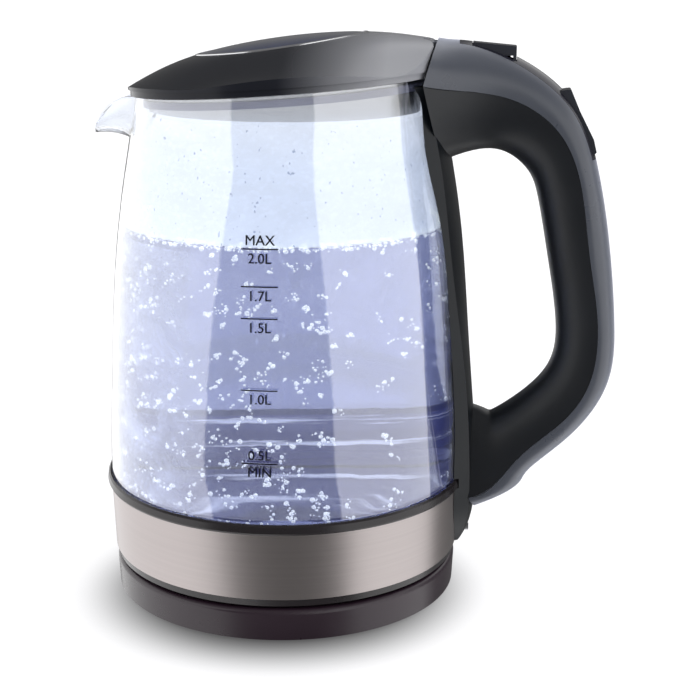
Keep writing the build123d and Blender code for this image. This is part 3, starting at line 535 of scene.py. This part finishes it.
class KETTLE_OT_add_handle_seams(bpy.types.Operator):
    """Lays dark strips in the parting lines between the handle's two shells, as painted shade for the gaps
    between the shells
    """

    bl_idname = "kettle.add_handle_seams"
    bl_label = "Add handle seams"

    # along the parting line: distance behind the jug's axis, height and half-width of the handle, in mm
    stations = ((75.6, 224.4, 20.5), (90.9, 222.3, 15.5), (104.0, 217.7, 13.3), (117.0, 207.6, 12.6),
                (127.0, 187.5, 12.3), (132.6, 155.0, 12.2), (137.6, 124.0, 12.2), (135.3, 98.5, 12.4),
                (123.5, 79.8, 12.8), (105.0, 62.4, 13.3))

    def strip(self, side, radius, depth):
        """Round strip along one side's parting line, its middle at a depth under the surface."""
        start_clean()
        bpy.ops.curve.primitive_bezier_curve_add(location=(0, 0, 0))
        strip = bpy.context.object
        curve = strip.data
        line = curve.splines[0]
        line.bezier_points.add(len(self.stations) - 2)
        for point, (behind, height, half_width) in zip(line.bezier_points, self.stations):
            point.co = Vector((behind, side * (half_width - depth / MM), height)) * MM
            point.handle_left_type = point.handle_right_type = "AUTO"
        curve.resolution_u = 10
        curve.bevel_depth = radius
        curve.bevel_resolution = 2
        curve.use_fill_caps = True
        bpy.ops.object.convert(target="MESH")
        return bpy.context.object

    def execute(self, context):
        seams = joined([self.strip(side, radius=1.3 * MM, depth=1.5 * MM) for side in (-1, 1)])
        bpy.ops.object.shade_smooth_by_angle(angle=math.radians(40))
        # painted shade: near-black strips that stand for the shade in the parting lines
        material = plastic("seam_painted_shade", (0.004, 0.004, 0.006), roughness=0.6, grain_size=1200.0, depth=0.04,
                           specular=0.2)
        end_piece(seams, "handle_seams", "jug", material)
        return {"FINISHED"}


class KETTLE_OT_finish_lid(bpy.types.Operator):
    """Gives the lid its gloss flank, insert, silver line and steel cup"""

    bl_idname = "kettle.finish_lid"
    bl_label = "Finish lid"

    def execute(self, context):
        colours = context.scene.kettle_plastic
        metals = context.scene.kettle_metal
        flank = plastic("lid_gloss", colours.lid_colour, roughness=0.24, grain_size=900.0, depth=0.012,
                        marks=0.06, specular=0.20)
        # painted light on the lid's flank, growing towards the hinge
        paint_light_towards_rear(flank, colours.lid_rear_painted_light)
        paint(flank, "lid_shell")
        paint(
            plastic("insert_gloss", colours.insert_colour, roughness=0.14, grain_size=900.0, depth=0.008,
                    marks=0.05, coat=0.5),
            "lid_insert",
        )
        paint(metal("silver_line", (0.80, 0.80, 0.82), roughness=0.16), "lid_trim_ring")
        paint(brushed("cup_steel", metals.bright_colour, roughness=0.24, depth=0.10, streaks=0.15), "lid_cup")
        return {"FINISHED"}


# ---------------------------------------------------------------- modelling helpers


def start_clean():
    """Leaves edit mode and deselects everything."""
    if bpy.context.object and bpy.context.object.mode != "OBJECT":
        bpy.ops.object.mode_set(mode="OBJECT")
    bpy.ops.object.select_all(action="DESELECT")


def end_piece(piece, name, body, material):
    """Names a finished piece, gives it its finish and its body, with its place kept in its mesh."""
    start_clean()
    piece.select_set(True)
    bpy.context.view_layer.objects.active = piece
    bpy.ops.object.transform_apply(location=True, rotation=True, scale=True)
    piece.name = name
    piece.data.name = name
    piece.data.materials.clear()
    piece.data.materials.append(material)
    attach(piece, body)


def joined(pieces):
    """Joins pieces into the first of them."""
    start_clean()
    for piece in pieces:
        piece.select_set(True)
    bpy.context.view_layer.objects.active = pieces[0]
    bpy.ops.object.join()
    return bpy.context.object


def even_heights(low, high, steps):
    return [low + (high - low) * step / steps for step in range(steps + 1)]


def wall_radius(height, inside=True):
    """Distance of the jug's wall from the axis at a height, straight in front."""
    glass = NODES["glass_jug"]
    if inside:
        hit, where, _, _ = glass.ray_cast(Vector((0.0, 0.0, height)), Vector((0.0, -1.0, 0.0)))
    else:
        hit, where, _, _ = glass.ray_cast(Vector((0.0, -0.2, height)), Vector((0.0, 1.0, 0.0)))
    if not hit:
        raise RuntimeError(f"no glass at height {height}")
    return abs(where.y)


def turned_stack(levels, segments, closed=True):
    """Body or open shell extruded ring by ring through (radius, height) levels, as on a lathe."""
    start_clean()
    radius, height = levels[0]
    bpy.ops.mesh.primitive_circle_add(
        vertices=segments, radius=radius, fill_type="NGON" if closed else "NOTHING", location=(0, 0, height)
    )
    bpy.ops.object.mode_set(mode="EDIT")
    bpy.ops.mesh.select_all(action="SELECT")
    for next_radius, next_height in levels[1:]:
        extrude = bpy.ops.mesh.extrude_region_move if closed else bpy.ops.mesh.extrude_edges_move
        extrude(TRANSFORM_OT_translate={"value": (0, 0, next_height - height)})
        factor = next_radius / radius
        bpy.ops.transform.resize(value=(factor, factor, 1.0))
        radius, height = next_radius, next_height
    if closed:
        bpy.ops.mesh.select_all(action="SELECT")
        bpy.ops.mesh.normals_make_consistent(inside=False)
    bpy.ops.object.mode_set(mode="OBJECT")
    return bpy.context.object


def wall_shell(heights, inset):
    """Open shell that follows the jug's wall from inside, inset from it."""
    shell = turned_stack([(wall_radius(height) - inset, height) for height in heights], 96, closed=False)
    bpy.ops.object.shade_smooth()
    return shell


class KETTLE_OT_add_water(bpy.types.Operator):
    """Fills the jug with lit water up to the top mark"""

    bl_idname = "kettle.add_water"
    bl_label = "Add water"

    def execute(self, context):
        settings = context.scene.kettle_water
        gap = settings.wall_gap
        top = settings.water_level
        plate_sheet = 0.8 * MM
        flange = PLATE_HIGH[0] - plate_sheet - gap
        levels = [(flange, PLATE_LOW[2] + plate_sheet + gap), (flange, PLATE_HIGH[2] + gap)]
        for height in even_heights(PLATE_HIGH[2] + 2 * gap, top, 22):
            levels.append((wall_radius(height) - gap, height))
        water = turned_stack(levels, 144)
        bpy.ops.object.shade_smooth_by_angle(angle=math.radians(30))
        material, tree, shader = fresh_material("lit_water")
        set_shader(shader, Roughness=0.0, Transmission_Weight=1.0, IOR=1.333)
        height = object_axes(tree)["Z"]
        # painted lamp light: the water's tint stands in for the lamps' light, darker towards the bottom
        upper = value_ramp(tree, height, 60 * MM, 150 * MM)
        lower_water_lamp_light = tuple(part * shade for part, shade in zip(settings.water_lamp_light, (0.80, 0.82, 0.95)))
        link(tree, mix_colour(tree, upper, lower_water_lamp_light, settings.water_lamp_light), shader.inputs["Base Color"])
        ripple = node(tree, "ShaderNodeBump")
        ripple.inputs["Distance"].default_value = 4 * MM
        ripple.inputs["Strength"].default_value = 0.35
        surface = value_ramp(tree, height, top - 0.6 * MM, top - 0.1 * MM)
        wave = math_node(tree, "MULTIPLY", noise(tree, object_coordinates(tree), 75.0, 5.0), surface)
        link(tree, wave, ripple.inputs["Height"])
        link(tree, ripple.outputs["Normal"], shader.inputs["Normal"])
        end_piece(water, "water", "jug", material)
        water.visible_shadow = False
        return {"FINISHED"}


class KETTLE_OT_add_bubbles(bpy.types.Operator):
    """Scatters steam bubbles through the water, thickest on the spout side"""

    bl_idname = "kettle.add_bubbles"
    bl_label = "Add bubbles"

    batch_size = 50  # bubbles added in one edit session, which keeps adding them quick
    cluster = 5
    near_spout_share = 0.85
    lowest = 49 * MM
    below_foam = 2 * MM
    foam_depth = 3.2 * MM
    foam_sunk = 0.62  # share of the foam that lies under the water's level
    smallest = 0.28  # radius in mm
    spread = 0.80  # radius in mm that the largest bubble has on top
    off_wall = 0.6 * MM
    cluster_height = 3.0 * MM
    cluster_turn = math.radians(2.6)
    dent = 0.24 * MM

    def execute(self, context):
        settings = context.scene.kettle_water
        top = settings.water_level
        chance = random.Random(11)
        foam_count = settings.bubble_count // 4
        batches = []
        for count in range(settings.bubble_count):
            in_foam = count < foam_count
            if in_foam:
                height = top + self.foam_depth * (chance.random() - self.foam_sunk)
                turn = math.radians(-200 + 220 * chance.random())
            elif count % self.cluster and count > foam_count:
                height = height + self.cluster_height * (chance.random() - 0.5)
                height = min(max(height, self.lowest), top - self.below_foam)
                turn += self.cluster_turn * (chance.random() - 0.5)
            else:
                height = self.lowest + (top - self.lowest - self.below_foam) * chance.random()
                if chance.random() < self.near_spout_share:
                    turn = math.radians(-200 + 132 * chance.random() ** 0.7)
                else:
                    turn = math.radians(-90 + 90 * chance.random())
            size = (self.smallest + self.spread * chance.random() ** 3) * MM
            room = wall_radius(height) - size - self.off_wall
            reach = room * (1 - (0.03 if in_foam else 0.12) * chance.random() ** 2)
            centre = (reach * math.cos(turn), reach * math.sin(turn), height)
            first = count % self.batch_size == 0
            if first:
                start_clean()
            bpy.ops.mesh.primitive_ico_sphere_add(subdivisions=2, radius=size, location=centre)
            if first:
                batches.append(bpy.context.object)
                bpy.ops.object.transform_apply(location=True)
                bpy.ops.object.mode_set(mode="EDIT")
        bubbles = joined(batches)
        for vertex in bubbles.data.vertices:
            vertex.co += Vector((chance.random() - 0.5, chance.random() - 0.5, chance.random() - 0.5)) * self.dent
        material, tree, shader = fresh_material("bubble_air_painted_light")
        set_shader(shader, Roughness=0.08, IOR=1.33, Emission_Strength=1.9)
        # painted light: the bubbles glow, with a painted highlight on their upper sides and painted shade on
        # their lower sides
        tilt = node(tree, "ShaderNodeNewGeometry")
        up = node(tree, "ShaderNodeSeparateXYZ")
        link(tree, tilt.outputs["Normal"], up.inputs["Vector"])
        lit = value_ramp(tree, up.outputs["Z"], -0.35, 0.35)
        paint_glow(tree, shader, mix_colour(tree, lit, (0.16, 0.19, 0.32), (1.0, 1.0, 0.78)))
        facing = node(tree, "ShaderNodeLayerWeight")
        facing.inputs["Blend"].default_value = 0.35
        link(tree, value_ramp(tree, facing.outputs["Facing"], 0.0, 1.0, 0.35, 0.95), shader.inputs["Alpha"])
        end_piece(bubbles, "bubbles", "jug", material)
        bubbles.visible_shadow = False
        return {"FINISHED"}


class KETTLE_OT_add_churn(bpy.types.Operator):
    """Adds the churned water, the mist on the glass, the foam and the lamps' streaks"""

    bl_idname = "kettle.add_churn"
    bl_label = "Add churn and mist"

    veil_light = 0.62

    # painted glow: a veil that gives off light of its own colour, for churned water, mist, foam and lamp streaks
    def painted_glow_veil(self, name, colour, strength):
        material, tree, shader = fresh_material(name)
        set_shader(shader, colour, Roughness=0.6, Specular_IOR_Level=0.1)
        set_shader(shader, Emission_Strength=strength, Emission_Color=(*colour, 1.0))
        return material, tree, shader

    def veil(self, name, shell, colour, left, right, **cloud_values):
        """Cloudy veil on a shell, full at left and gone at right, and thin at the back."""
        material, tree, shader = self.painted_glow_veil(name, colour, self.veil_light)
        cloud = place_group(tree, drifting_cloud_group(), **cloud_values)
        flattened = object_coordinates(tree, (1.0, 1.0, 2.2))
        patch = value_ramp(tree, noise(tree, flattened, 55.0, 7.0, 0.62), 0.36, 0.62)
        drawn_out = object_coordinates(tree, (1.0, 1.0, 0.7))
        drops = value_ramp(tree, noise(tree, drawn_out, 620.0, 1.0), 0.722, 0.745)
        tone = mix_colour(tree, patch, tuple(part * 0.90 for part in colour), colour)
        paint_glow(tree, shader, mix_colour(tree, drops, tone, (0.20, 0.26, 0.42)))
        place = object_axes(tree)
        side = value_ramp(tree, place["X"], left, right, 1.0, 0.0)
        front = value_ramp(tree, place["Y"], 10 * MM, -10 * MM, 0.25, 1.0)
        mask = math_node(tree, "MULTIPLY", math_node(tree, "MULTIPLY", cloud.outputs["Mask"], side), front)
        link(tree, mask, shader.inputs["Alpha"])
        end_piece(shell, name, "jug", material)
        shell.visible_shadow = False

    def foam(self, height):
        """Thin sheet of foam on the water."""
        start_clean()
        bpy.ops.mesh.primitive_circle_add(
            vertices=96, radius=wall_radius(height) - 0.5 * MM, fill_type="TRIFAN", location=(0, 0, height)
        )
        sheet = bpy.context.object
        material, tree, shader = self.painted_glow_veil("foam", (0.80, 0.85, 0.95), self.veil_light)
        cloud = place_group(tree, drifting_cloud_group(), Cover=1.0, Least=0.88, Size=40.0, Specks=0.2)
        link(tree, cloud.outputs["Mask"], shader.inputs["Alpha"])
        end_piece(sheet, "foam", "jug", material)
        sheet.visible_shadow = False

    def lamp_streaks(self):
        """Painted lamp light on the far side of the lower wall, with a painted dark band along its top."""
        low = PLATE_HIGH[2] + 0.4 * MM
        high = low + 21 * MM
        navy, painted_dark_band, lamp_white = (0.055, 0.065, 0.21), (0.025, 0.030, 0.120), (0.95, 0.98, 1.0)
        shell = wall_shell(even_heights(low, high, 6), 3.4 * MM)
        material, tree, shader = self.painted_glow_veil("lamp_streaks", navy, 0.75)
        streaks = place_group(tree, light_streaks_group())
        tint = mix_colour(tree, streaks.outputs["Mask"], navy, lamp_white)
        place = object_axes(tree)
        # painted shade: a dark band along the top of the painted lamp light
        edge = value_ramp(tree, place["Z"], high - 3.4 * MM, high - 2.9 * MM)
        paint_glow(tree, shader, mix_colour(tree, edge, tint, painted_dark_band))
        far = value_ramp(tree, place["Y"], -10 * MM, 12 * MM)
        fade = value_ramp(tree, place["Z"], high - 0.5 * MM, high, 1.0, 0.0)
        most_cover = 0.88
        cover = math_node(tree, "MULTIPLY", math_node(tree, "MULTIPLY", far, fade), most_cover)
        link(tree, cover, shader.inputs["Alpha"])
        end_piece(shell, "lamp_streaks", "jug", material)
        shell.visible_shadow = False

    def execute(self, context):
        settings = context.scene.kettle_water
        top = settings.water_level
        self.veil(
            "churned_water", wall_shell(even_heights(50 * MM, top - 4 * MM, 12), 2.6 * MM), (0.86, 0.91, 1.0),
            left=-56 * MM, right=-14 * MM, Cover=0.95, Least=0.0, Size=34.0, Specks=0.25
        )
        self.veil(
            "glass_mist", wall_shell(even_heights(top + 0.2 * MM, 213.7 * MM, 8), 0.35 * MM), (0.86, 0.90, 0.98),
            left=-200 * MM, right=500 * MM, Cover=1.0, Least=settings.mist, Size=20.0, Specks=0.12
        )
        self.foam(top + 0.5 * MM)
        self.lamp_streaks()
        return {"FINISHED"}


class KETTLE_OT_add_litre_scale(bpy.types.Operator):
    """Prints the litre scale on the front of the glass"""

    bl_idname = "kettle.add_litre_scale"
    bl_label = "Add litre scale"

    # height of each line in mm, with the words above and below it
    lines = ((166.3, "MAX", "2.0L"), (151.5, None, "1.7L"), (138.8, None, "1.5L"), (109.7, None, "1.0L"),
             (79.3, "0.5L", "MIN"))
    space_above = 1.2 * MM
    space_below = 1.9 * MM
    ink_lift = 0.08 * MM  # clear of the glass
    font_capital = 0.70  # height of a capital in a font of size 1
    narrowing = 0.97
    second_coat = Vector((0.15, 0.01, 0.06)) * MM  # the same word again beside the first thickens its strokes

    def word(self, text, capital, centre):
        """The word's two coats, upright in the plane of X and Z."""
        start_clean()
        bpy.ops.object.text_add(location=(0, 0, 0))
        letters = bpy.context.object
        letters.data.body = text
        letters.data.align_x = "CENTER"
        letters.data.align_y = "CENTER"
        letters.data.resolution_u = 4
        bpy.ops.object.convert(target="MESH")
        size = capital / self.font_capital
        for vertex in letters.data.vertices:
            vertex.co = Vector((vertex.co.x * size * self.narrowing, 0.0, vertex.co.y * size + centre))
        bpy.ops.object.duplicate()
        second = bpy.context.object
        for vertex in second.data.vertices:
            vertex.co += self.second_coat
        return [letters, second]

    def bar(self, width, weight, centre):
        start_clean()
        bpy.ops.mesh.primitive_grid_add(x_subdivisions=12, y_subdivisions=1, size=1.0, location=(0, 0, 0))
        line = bpy.context.object
        for vertex in line.data.vertices:
            vertex.co = Vector((vertex.co.x * width, 0.0, vertex.co.y * weight + centre))
        return line

    def execute(self, context):
        settings = context.scene.kettle_scale
        capital = settings.capital_height
        pieces = []
        for line_height, above, below in self.lines:
            height = line_height * MM
            pieces.append(self.bar(settings.line_width, settings.line_weight, height))
            if above:
                pieces += self.word(above, capital, height + capital / 2 + self.space_above)
            if below:
                pieces += self.word(below, capital, height - capital / 2 - self.space_below)
        scale = joined(pieces)
        self.wrap(scale)
        material, tree, shader = fresh_material("scale_ink")
        set_shader(shader, Specular_IOR_Level=0.1)
        speck = value_ramp(tree, noise(tree, object_coordinates(tree), 900.0, 3.0), 0.3, 0.7, 0.35, 0.6)
        link(tree, speck, shader.inputs["Roughness"])
        worn = value_ramp(tree, noise(tree, object_coordinates(tree), 500.0, 2.0), 0.3, 0.7)
        ink = tuple(settings.ink_colour)
        worn_ink = tuple(part + 0.008 for part in ink)
        link(tree, mix_colour(tree, worn, ink, worn_ink), shader.inputs["Base Color"])
        end_piece(scale, "litre_scale", "jug", material)
        scale.visible_shadow = False
        return {"FINISHED"}

    def wrap(self, scale):
        """Lays the flat scale on the outside of the glass, facing outwards."""
        glass = NODES["glass_jug"]
        for vertex in scale.data.vertices:
            turn = vertex.co.x / wall_radius(vertex.co.z, inside=False)
            outward = Vector((math.sin(turn), -math.cos(turn), 0.0))
            level = Vector((0.0, 0.0, vertex.co.z))
            hit, spot, _, _ = glass.ray_cast(outward * 0.1 + level, -outward)
            if not hit:
                raise RuntimeError("the litre scale misses the glass")
            vertex.co = outward * ((spot - level).length + self.ink_lift + vertex.co.y) + level
        bpy.ops.object.mode_set(mode="EDIT")
        bpy.ops.mesh.select_all(action="SELECT")
        bpy.ops.mesh.remove_doubles(threshold=1e-6)
        bpy.ops.object.mode_set(mode="OBJECT")
        mesh = scale.data
        faced = sum(polygon.normal.dot(polygon.center * Vector((1, 1, 0))) for polygon in mesh.polygons)
        if faced < 0:
            mesh.flip_normals()


# ---------------------------------------------------------------- stage


def seen_directly(tree, path):
    """1 for what the camera sees, also through glass, and 0 for light and reflections."""
    both = math_node(tree, "ADD", path.outputs["Is Camera Ray"], path.outputs["Is Transmission Ray"])
    return math_node(tree, "MINIMUM", both, 1.0)


class KETTLE_OT_set_stage(bpy.types.Operator):
    """Sets the pale floor, the soft room light and the camera"""

    bl_idname = "kettle.set_stage"
    bl_label = "Set stage"

    floor_size = 60.0
    shadow_middle = (0.0, -16 * MM)
    shadow_inner = 54 * MM
    shadow_outer = 97 * MM
    shadow_tone = 0.10  # share of the paper's tone that is left at the inner edge
    paper_glow = 1.35
    glow_share = 0.60
    camera_place = (0.08895, -0.63288, 0.27705)
    camera_heading = math.radians(5.4)  # from +Y towards -X
    camera_tilt = math.radians(-14.97)
    camera_roll = math.radians(0.32)

    def floor(self):
        start_clean()
        bpy.ops.mesh.primitive_grid_add(
            x_subdivisions=8, y_subdivisions=8, size=self.floor_size, location=(0, 0, -0.4 * MM)
        )
        floor = bpy.context.object
        floor.name = "pale_floor"
        material = bpy.data.materials.new("pale_floor")
        material.use_nodes = True
        tree = material.node_tree
        tree.nodes.clear()
        where = node(tree, "ShaderNodeMapping")
        where.inputs["Location"].default_value = (-self.shadow_middle[0], -self.shadow_middle[1], 0.0)
        link(tree, node(tree, "ShaderNodeTexCoord").outputs["Object"], where.inputs["Vector"])
        reach = node(tree, "ShaderNodeVectorMath", operation="LENGTH")
        link(tree, where.outputs["Vector"], reach.inputs[0])
        contact = node(tree, "ShaderNodeMapRange", interpolation_type="SMOOTHSTEP")
        contact.inputs["From Min"].default_value = self.shadow_inner
        contact.inputs["From Max"].default_value = self.shadow_outer
        contact.inputs["To Min"].default_value = self.shadow_tone
        link(tree, reach.outputs["Value"], contact.inputs["Value"])
        tone = mix_colour(tree, contact.outputs["Result"], (0.0, 0.0, 0.0), (0.95, 0.95, 0.96))
        paper = node(tree, "ShaderNodeBsdfDiffuse")
        link(tree, tone, paper.inputs["Color"])
        lit = node(tree, "ShaderNodeEmission")
        link(tree, tone, lit.inputs["Color"])
        lit.inputs["Strength"].default_value = self.paper_glow
        path = node(tree, "ShaderNodeLightPath")
        share = math_node(tree, "MULTIPLY", seen_directly(tree, path), self.glow_share)
        mix = node(tree, "ShaderNodeMixShader")
        link(tree, share, mix.inputs["Fac"])
        link(tree, paper.outputs["BSDF"], mix.inputs[1])
        link(tree, lit.outputs["Emission"], mix.inputs[2])
        out = node(tree, "ShaderNodeOutputMaterial")
        link(tree, mix.outputs["Shader"], out.inputs["Surface"])
        floor.data.materials.append(material)
        floor.visible_glossy = False

    def room(self, context):
        """Tall soft panels left and right, windows overhead and behind, and a white surround to look at."""
        settings = context.scene.kettle_stage
        world = bpy.data.worlds.new("studio")
        context.scene.world = world
        world.use_nodes = True
        tree = world.node_tree
        tree.nodes.clear()
        where = node(tree, "ShaderNodeTexCoord")
        axes = node(tree, "ShaderNodeSeparateXYZ")
        link(tree, where.outputs["Generated"], axes.inputs["Vector"])

        def degrees(angle):
            return math_node(tree, "MULTIPLY", angle, 180.0 / math.pi)

        def leaning(above, below):
            """The turn, leaning by the rise above the knee and by another share of it below."""
            leant = math_node(tree, "ADD", turn, math_node(tree, "MULTIPLY", above_knee, above))
            return math_node(tree, "ADD", leant, math_node(tree, "MULTIPLY", below_knee, below))

        # directions in degrees: the turn from -Y towards +X, and the rise above the level
        backward = math_node(tree, "MULTIPLY", axes.outputs["Y"], -1.0)
        turn = degrees(math_node(tree, "ARCTAN2", axes.outputs["X"], backward))
        rise = degrees(math_node(tree, "ARCSINE", axes.outputs["Z"]))
        knee = -15.0
        above_knee = math_node(tree, "MAXIMUM", rise, knee)
        below_knee = math_node(tree, "MINIMUM", math_node(tree, "SUBTRACT", rise, knee), 0.0)
        left_turn = leaning(-0.62, 0.9)
        right_turn = leaning(0.40, 0.8)

        def window(angle, low, high, blur):
            enter = value_ramp(tree, angle, low - blur, low + blur)
            leave = value_ramp(tree, angle, high - blur, high + blur, 1.0, 0.0)
            return math_node(tree, "MULTIPLY", enter, leave)

        panels = math_node(tree, "ADD", window(right_turn, 33, 106, 1.0), window(left_turn, -150, -36, 1.0))
        panels = math_node(tree, "MULTIPLY", panels, value_ramp(tree, rise, 24.0, 38.0, 1.0, 0.0))
        overhead = math_node(tree, "MULTIPLY", window(rise, 42, 100, 8.0), 0.12)
        rim = math_node(tree, "MULTIPLY", window(turn, 95, 172, 6.0), window(rise, 16, 62, 6.0))
        panels = math_node(tree, "MAXIMUM", math_node(tree, "MAXIMUM", panels, overhead), rim)
        lift = math_node(tree, "MULTIPLY", panels, settings.softbox - settings.room)
        light = math_node(tree, "ADD", lift, settings.room)
        path = node(tree, "ShaderNodeLightPath")
        mix = node(tree, "ShaderNodeMix", data_type="FLOAT")
        link(tree, seen_directly(tree, path), mix.inputs["Factor"])
        fill = math_node(tree, "MULTIPLY", path.outputs["Is Diffuse Ray"], settings.fill)
        link(tree, math_node(tree, "ADD", light, fill), mix.inputs["A"])
        mix.inputs["B"].default_value = 1.0
        sky = node(tree, "ShaderNodeBackground")
        sky.inputs["Color"].default_value = (1.0, 1.0, 1.0, 1.0)
        link(tree, mix.outputs["Result"], sky.inputs["Strength"])
        out = node(tree, "ShaderNodeOutputWorld")
        link(tree, sky.outputs["Background"], out.inputs["Surface"])

    def camera(self, context):
        data = bpy.data.cameras.new("camera")
        data.sensor_width = 36.0
        data.lens = context.scene.kettle_stage.lens
        data.clip_start = 0.01
        camera = bpy.data.objects.new("camera", data)
        context.scene.collection.objects.link(camera)
        turned = Matrix.Rotation(self.camera_heading, 4, "Z")
        turned @= Matrix.Rotation(math.pi / 2 + self.camera_tilt, 4, "X")
        turned @= Matrix.Rotation(self.camera_roll, 4, "Z")
        camera.matrix_world = Matrix.Translation(self.camera_place) @ turned
        context.scene.camera = camera

    def execute(self, context):
        self.floor()
        self.room(context)
        self.camera(context)
        context.scene.view_settings.view_transform = "Standard"
        return {"FINISHED"}


class KETTLE_PT_panel(bpy.types.Panel):
    """Steps that dress the kettle, in their order"""

    bl_idname = "KETTLE_PT_panel"
    bl_label = "Glass Kettle"
    bl_space_type = "VIEW_3D"
    bl_region_type = "UI"
    bl_category = "Kettle"

    def draw(self, context):
        column = self.layout.column()
        for operator in OPERATORS:
            column.operator(operator.bl_idname)
        for group in SETTINGS:
            settings = getattr(context.scene, group)
            box = self.layout.box()
            for name in settings.bl_rna.properties.keys():
                if name not in ("rna_type", "name"):
                    box.prop(settings, name)


OPERATORS = (
    KETTLE_OT_finish_base,
    KETTLE_OT_finish_jug,
    KETTLE_OT_finish_handle,
    KETTLE_OT_add_handle_seams,
    KETTLE_OT_finish_lid,
    KETTLE_OT_add_water,
    KETTLE_OT_add_bubbles,
    KETTLE_OT_add_churn,
    KETTLE_OT_add_litre_scale,
    KETTLE_OT_set_stage,
)
SETTINGS = {
    "kettle_plastic": KettlePlasticSettings,
    "kettle_metal": KettleMetalSettings,
    "kettle_water": KettleWaterSettings,
    "kettle_scale": KettleScaleSettings,
    "kettle_stage": KettleStageSettings,
}


def register():
    for name, group in SETTINGS.items():
        bpy.utils.register_class(group)
        setattr(bpy.types.Scene, name, PointerProperty(type=group))
    for operator in OPERATORS:
        bpy.utils.register_class(operator)
    bpy.utils.register_class(KETTLE_PT_panel)


def unregister():
    bpy.utils.unregister_class(KETTLE_PT_panel)
    for operator in reversed(OPERATORS):
        bpy.utils.unregister_class(operator)
    for name, group in reversed(SETTINGS.items()):
        delattr(bpy.types.Scene, name)
        bpy.utils.unregister_class(group)


def main():
    register()
    bpy.ops.kettle.finish_base()
    bpy.ops.kettle.finish_jug()
    bpy.ops.kettle.finish_handle()
    bpy.ops.kettle.add_handle_seams()
    bpy.ops.kettle.finish_lid()
    bpy.ops.kettle.add_water()
    bpy.ops.kettle.add_bubbles()
    bpy.ops.kettle.add_churn()
    bpy.ops.kettle.add_litre_scale()
    bpy.ops.kettle.set_stage()


if __name__ == "__main__":
    main()
